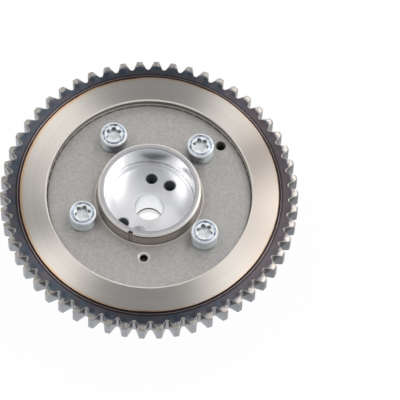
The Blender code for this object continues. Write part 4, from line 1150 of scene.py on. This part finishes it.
def table(context, settings):
    """White table: a flat square grid.

    Seen directly or mirrored away from the part, it is white. Under the bolt hole it is white to mirrored
    rays as well, a painted light inside the part's shadow. It keeps the part's soft shadow, and beside the
    part the metal mirrors that shadow. A ring under the part is open, so that light reaches the part's
    underside.
    """
    reach = np.linspace(-TABLE_REACH, TABLE_REACH, 9)
    x, y = np.meshgrid(reach, reach, indexing="ij")
    points = np.stack([x, y, 0 * x], -1).reshape(-1, 3)
    index = np.arange(x.size).reshape(x.shape)
    quads = np.stack([index[:-1, :-1], index[1:, :-1], index[1:, 1:], index[:-1, 1:]], -1).reshape(-1, 4)
    mesh = bpy.data.meshes.new("table")
    mesh.from_pydata(points.tolist(), [], quads.tolist())
    piece = bpy.data.objects.new("table", mesh)
    context.scene.collection.objects.link(piece)
    material, tree, place = start_material("white_table")
    paint = add(tree, "ShaderNodeBsdfDiffuse", {"Color": rgba(settings.floor)})
    light = add(tree, "ShaderNodeEmission", {"Color": rgba((1, 1, 1)), "Strength": 1.0})
    clear = add(tree, "ShaderNodeBsdfTransparent")
    ray = add(tree, "ShaderNodeLightPath").node.outputs
    radius = axis_distance(tree, place)
    under = add(tree, "ShaderNodeMath", {0: radius, 1: BOLT_LIGHT}, operation="LESS_THAN")
    away = add(tree, "ShaderNodeMapRange", {0: radius, 1: SHADOW_REACH[0], 2: SHADOW_REACH[1]},
               interpolation_type="SMOOTHSTEP")
    away = add(tree, "ShaderNodeMath", {0: away, 1: under}, operation="MAXIMUM")
    seen = add(tree, "ShaderNodeMath", {0: ray["Is Glossy Ray"], 1: away}, operation="MULTIPLY")
    seen = add(tree, "ShaderNodeMath", {0: ray["Is Camera Ray"], 1: seen}, operation="MAXIMUM")
    seen = add(tree, "ShaderNodeMath", {0: seen, 1: ray["Is Transmission Ray"]}, operation="MAXIMUM")
    share = add(tree, "ShaderNodeMath", {0: seen, 1: TABLE_GLOW}, operation="MULTIPLY")
    front = add(tree, "ShaderNodeMixShader", {0: share, 1: paint, 2: light})
    middle, half = (BOLT_LIGHT + OPENING) / 2, (OPENING - BOLT_LIGHT) / 2
    opening = add(tree, "ShaderNodeMath", {0: radius, 1: middle, 2: half}, operation="COMPARE")
    facing = add(tree, "ShaderNodeNewGeometry", out="Backfacing")
    gone = add(tree, "ShaderNodeMath", {0: facing, 1: opening}, operation="MAXIMUM")
    both = add(tree, "ShaderNodeMixShader", {0: gone, 1: front, 2: clear})
    add(tree, "ShaderNodeOutputMaterial", {"Surface": both})
    mesh.materials.append(material)


def studio(context, settings):
    """Even grey studio with a white wall round the horizon, which the camera sees as white."""
    world = bpy.data.worlds.new("studio")
    context.scene.world = world
    world.use_nodes = True
    tree = world.node_tree
    tree.nodes.clear()
    towards = add(tree, "ShaderNodeTexCoord", out="Generated")
    height = add(tree, "ShaderNodeSeparateXYZ", {0: towards}, 2)
    wall = add(tree, "ShaderNodeMapRange", {0: height, 1: WALL_RISE[0], 2: WALL_RISE[1], 3: 1.0, 4: 0.0},
               interpolation_type="SMOOTHSTEP")
    seen = add(tree, "ShaderNodeLightPath", out="Is Camera Ray")
    white = add(tree, "ShaderNodeMath", {0: wall, 1: seen}, operation="MAXIMUM")
    tone = add(tree, "ShaderNodeMix", {0: white, 6: rgba(settings.world), 7: rgba((1, 1, 1))}, 2,
               data_type="RGBA")
    light = add(tree, "ShaderNodeBackground", {"Color": tone, "Strength": 1.0})
    add(tree, "ShaderNodeOutputWorld", {"Surface": light})


# Operators

class CAMGEAR_OT_stage(bpy.types.Operator):
    """Sets up the camera, the soft boxes and the white table"""

    bl_idname = "cam_gear.stage"
    bl_label = "Set the stage"

    def execute(self, context):
        settings = context.scene.cam_gear.stage
        camera(context, settings)
        for name, azimuth, elevation, *lamp in SOFT_BOXES:
            soft_box(context, name, math.radians(azimuth), math.radians(elevation), *lamp)
        table(context, settings)
        studio(context, settings)
        context.scene.view_settings.view_transform = "Standard"
        return {"FINISHED"}


class CAMGEAR_OT_sprocket_housing(bpy.types.Operator):
    """Builds the toothed ring with its turned face, barrel and chambers"""

    bl_idname = "cam_gear.sprocket_housing"
    bl_label = "Sprocket housing"

    def execute(self, context):
        gear = context.scene.cam_gear
        tones = gear.finish
        finishes = [
            turned_steel_face(gear),
            blued_rim(gear),
            bevel_steel(gear),
            flank_steel(gear),
            # pressed powder: a dull, finely pitted grey
            grained_metal("pressed_sintered_steel", tones.sinter, 0.75, 0.45, 0.55, 0.05),
            # upper recess wall: dull and brown, darkened as painted shade
            grained_metal("painted_shade_recess_steel", tones.shade, 0.8, 0.45, 0.45, 0.04, metallic=0.8),
            # edges: a painted highlight that draws a pale line round each form
            grained_metal("painted_highlight_steel_edge", tones.edge, 0.8, 0.6, 0.5, 0.01, metallic=0.4),
            # tooth edges: a painted highlight in flecks
            grained_metal("painted_highlight_tooth_edge", tones.tooth_edge_highlight, 0.35, 0.7, 0.45, 0.05, cloud_size=1.5),
            # foot of the recess wall: a paler band under the painted shade
            grained_metal("turned_recess_steel", tones.foot, 0.85, 0.45, 0.5, 0.02, metallic=0.2),
        ]
        make_piece("sprocket_body", sprocket_patches(gear), finishes, "housing",
                   ["sprocket_housing"])
        return {"FINISHED"}


class CAMGEAR_OT_cover_plate(bpy.types.Operator):
    """Builds the blasted cover plate"""

    bl_idname = "cam_gear.cover_plate"
    bl_label = "Cover plate"

    def execute(self, context):
        gear = context.scene.cam_gear
        tones = gear.finish
        finishes = [
            # blasted steel: the grit leaves dents of 0.1 mm, drawn 0.5 mm wide so that they show as speckle
            grained_metal("blasted_steel_plate", tones.blasted, 0.74, 0.5, 0.58, 0.06, cloud_size=0.9),
            # edge worn by handling: a little smoother than the blasted face
            grained_metal("worn_plate_edge", tones.blasted, 0.8, 0.6, 0.5, 0.01, metallic=0.8),
            # countersinks and the ring round the collar's hole: painted highlights, the palest lines on the
            # plate
            grained_metal("painted_highlight_plate_chamfer", tones.crest, 0.85, 0.6, 0.4, 0.01, metallic=0.3),
        ]
        make_piece("cover_plate_body", plate_patches(gear), finishes, "housing",
                   ["cover_plate"])
        return {"FINISHED"}


class CAMGEAR_OT_front_cover(bpy.types.Operator):
    """Builds the front cover on the far side"""

    bl_idname = "cam_gear.front_cover"
    bl_label = "Front cover"

    def execute(self, context):
        gear = context.scene.cam_gear
        # pressed powder, sized in its die: a little smoother than the housing
        pressed = grained_metal("sintered_cover_steel", gear.finish.sinter, 0.78, 0.45, 0.5, 0.04)
        make_piece("front_cover_body", front_cover_patches(gear), [pressed], "housing",
                   ["front_cover"])
        return {"FINISHED"}


class CAMGEAR_OT_cover_screws(bpy.types.Operator):
    """Builds the four cover screws"""

    bl_idname = "cam_gear.cover_screws"
    bl_label = "Cover screws"

    def execute(self, context):
        gear = context.scene.cam_gear
        slate = tuple(c * s for c, s in zip(gear.finish.zinc, (0.98, 1.03, 1.09)))
        finishes = [
            plated_side(gear),
            # groove: the same plating, patchy and bluer where the driver doesn't rub
            grained_metal("zinc_plated_groove", slate, 0.1, 1.1, 0.4, 0.04, 0.06, 2.0),
            # rubbed rims: the plating's brightest lines
            # head edge, top ring and recess lip: the plating's brightest lines, a painted highlight
            grained_metal("painted_highlight_zinc_edge", (0.92, 0.95, 0.98), 0.7, 0.5, 0.5, 0.02, 0.05, 1.5, 0.6),
            recess_wall(gear),
            # recess floor: crystalline plating, the palest spot on a screw
            grained_metal("zinc_recess_floor", (0.95, 0.98, 1.0), 0.8, 0.4, 0.4, 0.08, 0.06, 0.8, 0.1),
        ]
        for number, (middle, spin) in enumerate(zip(SCREW_ANGLES, RECESS_ANGLES), 1):
            make_piece(f"cover_screw_body_{number}", screw_patches(gear, middle, spin), finishes, "housing",
                       [f"cover_screw_{number}"])
        return {"FINISHED"}


class CAMGEAR_OT_hub_collar(bpy.types.Operator):
    """Builds the steel collar with its notch"""

    bl_idname = "cam_gear.hub_collar"
    bl_label = "Hub collar"

    def execute(self, context):
        gear = context.scene.cam_gear
        tones = gear.finish
        finishes = [
            # outside: a dull brownish skin under fine rings
            turned_metal("turned_collar_steel", tones.skin, 0.4, 0.4, 0.3, 0.02, metallic=0.7),
            # honed bore: almost a mirror
            turned_metal("honed_bore_steel", tones.aluminium, 0.24, 0.2, 0.3, 0.003, 0.96, 0.9),
            # faced end: rings and fine cross-hatching
            turned_metal("faced_collar_steel", tones.collar, 0.5, 0.2, 0.25, 0.04, 0.8),
            # outer chamfer: a pale ring round the faced end, a painted highlight
            grained_metal("painted_highlight_collar_edge", tones.crest, 0.85, 0.6, 0.5, 0.01, metallic=0.6),
            # band under the edge and the notch's top: brown and dark, painted shade that reads as a dark
            # line
            grained_metal("painted_shade_relief", tones.scorched, 0.7, 0.5, 0.5, 0.02, metallic=0.6),
        ]
        make_piece("hub_collar_body", collar_patches(gear), finishes, "rotor",
                   ["hub_collar"])
        return {"FINISHED"}


class CAMGEAR_OT_vane_rotor(bpy.types.Operator):
    """Builds the aluminium rotor with its pocket and oil holes"""

    bl_idname = "cam_gear.vane_rotor"
    bl_label = "Vane rotor"

    def execute(self, context):
        gear = context.scene.cam_gear
        tones, bare = gear.finish, gear.finish.aluminium
        finishes = [
            # turned wall: bright, and smooth enough to mirror the opposite side softly
            turned_metal("turned_aluminium_bore", bare, 0.25, 0.3, 0.3, 0.005, 0.96, 0.9),
            # faced floor: rings stretch the light into soft sectors
            turned_metal("faced_aluminium_floor", bare, 0.36, 0.6, 0.3, 0.02, 0.93, 0.7),
            # cast skin of the vanes: pale and grainy
            grained_metal("cast_aluminium", bare, 0.75, 0.4, 0.45, 0.03),
            # deep drilled holes: darker than the bare aluminium
            grained_metal("dark_drilled_aluminium", tones.drilled, 0.6, 0.6, 0.35, 0.05, metallic=0.5),
            # broken edges of the holes: white rims, a painted highlight
            grained_metal("painted_highlight_aluminium_edge", bare, 0.9, 0.6, 0.5, 0.01, metallic=0.5),
            # reamed bolt hole: pale and smooth
            grained_metal("reamed_aluminium", bare, 0.97, 0.6, 0.3, 0.01),
            # undercut and lower chamfer of the bolt hole: painted shade, a thin dark ring
            grained_metal("painted_shade_undercut", tones.oxide, 0.7, 0.4, 0.5, 0.02, metallic=0.5),
        ]
        make_piece("vane_rotor_body", rotor_patches(gear), finishes, "rotor", ["vane_rotor"])
        return {"FINISHED"}


class CAMGEAR_OT_inner_parts(bpy.types.Operator):
    """Gives the lock pin, its bush, plug and spring, the seals and their springs their finishes"""

    bl_idname = "cam_gear.inner_parts"
    bl_label = "Inner parts"

    def execute(self, context):
        gear = context.scene.cam_gear
        tones = gear.finish
        # ground and hardened steel: smooth and bright
        hard = grained_metal("ground_hard_steel", tones.hard_steel, 0.85, 0.3, 0.24, 0.01, 0.05)
        # cold-drawn wire and strip: smooth, a little darker
        spring = grained_metal("drawn_spring_steel", tones.spring, 0.8, 0.25, 0.32, 0.01, 0.06)
        # pressed powder: dull and finely pitted
        plug = grained_metal("sintered_plug_steel", tones.sinter, 0.78, 0.4, 0.52, 0.04)
        wear = {"lock_pin": hard, "lock_bush": hard, "lock_plug": plug, "lock_spring": spring}
        seal = seal_plastic(gear)
        for number in range(1, len(VANE_SPANS) + 1):
            wear[f"vane_seal_{number}"] = seal
            wear[f"seal_spring_{number}"] = spring
        for name, material in wear.items():
            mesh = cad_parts[name].data
            mesh.materials.clear()
            mesh.materials.append(material)
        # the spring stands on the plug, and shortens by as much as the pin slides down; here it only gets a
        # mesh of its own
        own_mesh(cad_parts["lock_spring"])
        return {"FINISHED"}


OPERATORS = (CAMGEAR_OT_stage, CAMGEAR_OT_sprocket_housing, CAMGEAR_OT_cover_plate, CAMGEAR_OT_front_cover,
             CAMGEAR_OT_cover_screws, CAMGEAR_OT_hub_collar, CAMGEAR_OT_vane_rotor, CAMGEAR_OT_inner_parts)


class CAMGEAR_PT_panel(bpy.types.Panel):
    """Lists the pieces and their sizes"""

    bl_idname = "CAMGEAR_PT_panel"
    bl_label = "Cam gear"
    bl_space_type = "VIEW_3D"
    bl_region_type = "UI"
    bl_category = "Cam gear"

    def draw(self, context):
        for operator in OPERATORS:
            self.layout.operator(operator.bl_idname)
        for group in context.scene.cam_gear.bl_rna.properties:
            if group.type == "POINTER" and group.identifier != "rna_type":
                box = self.layout.box()
                box.label(text=group.name)
                settings = getattr(context.scene.cam_gear, group.identifier)
                for item in settings.bl_rna.properties:
                    if item.identifier not in ("rna_type", "name"):
                        box.prop(settings, item.identifier)


CLASSES = GROUPS + (CamGear,) + OPERATORS + (CAMGEAR_PT_panel,)


def register():
    for item in CLASSES:
        bpy.utils.register_class(item)
    bpy.types.Scene.cam_gear = PointerProperty(type=CamGear)


def unregister():
    del bpy.types.Scene.cam_gear
    for item in reversed(CLASSES):
        bpy.utils.unregister_class(item)


def main():
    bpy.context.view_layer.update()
    register()
    for operator in OPERATORS:
        getattr(bpy.ops.cam_gear, operator.bl_idname.split(".")[1])()


if __name__ == "__main__":
    main()
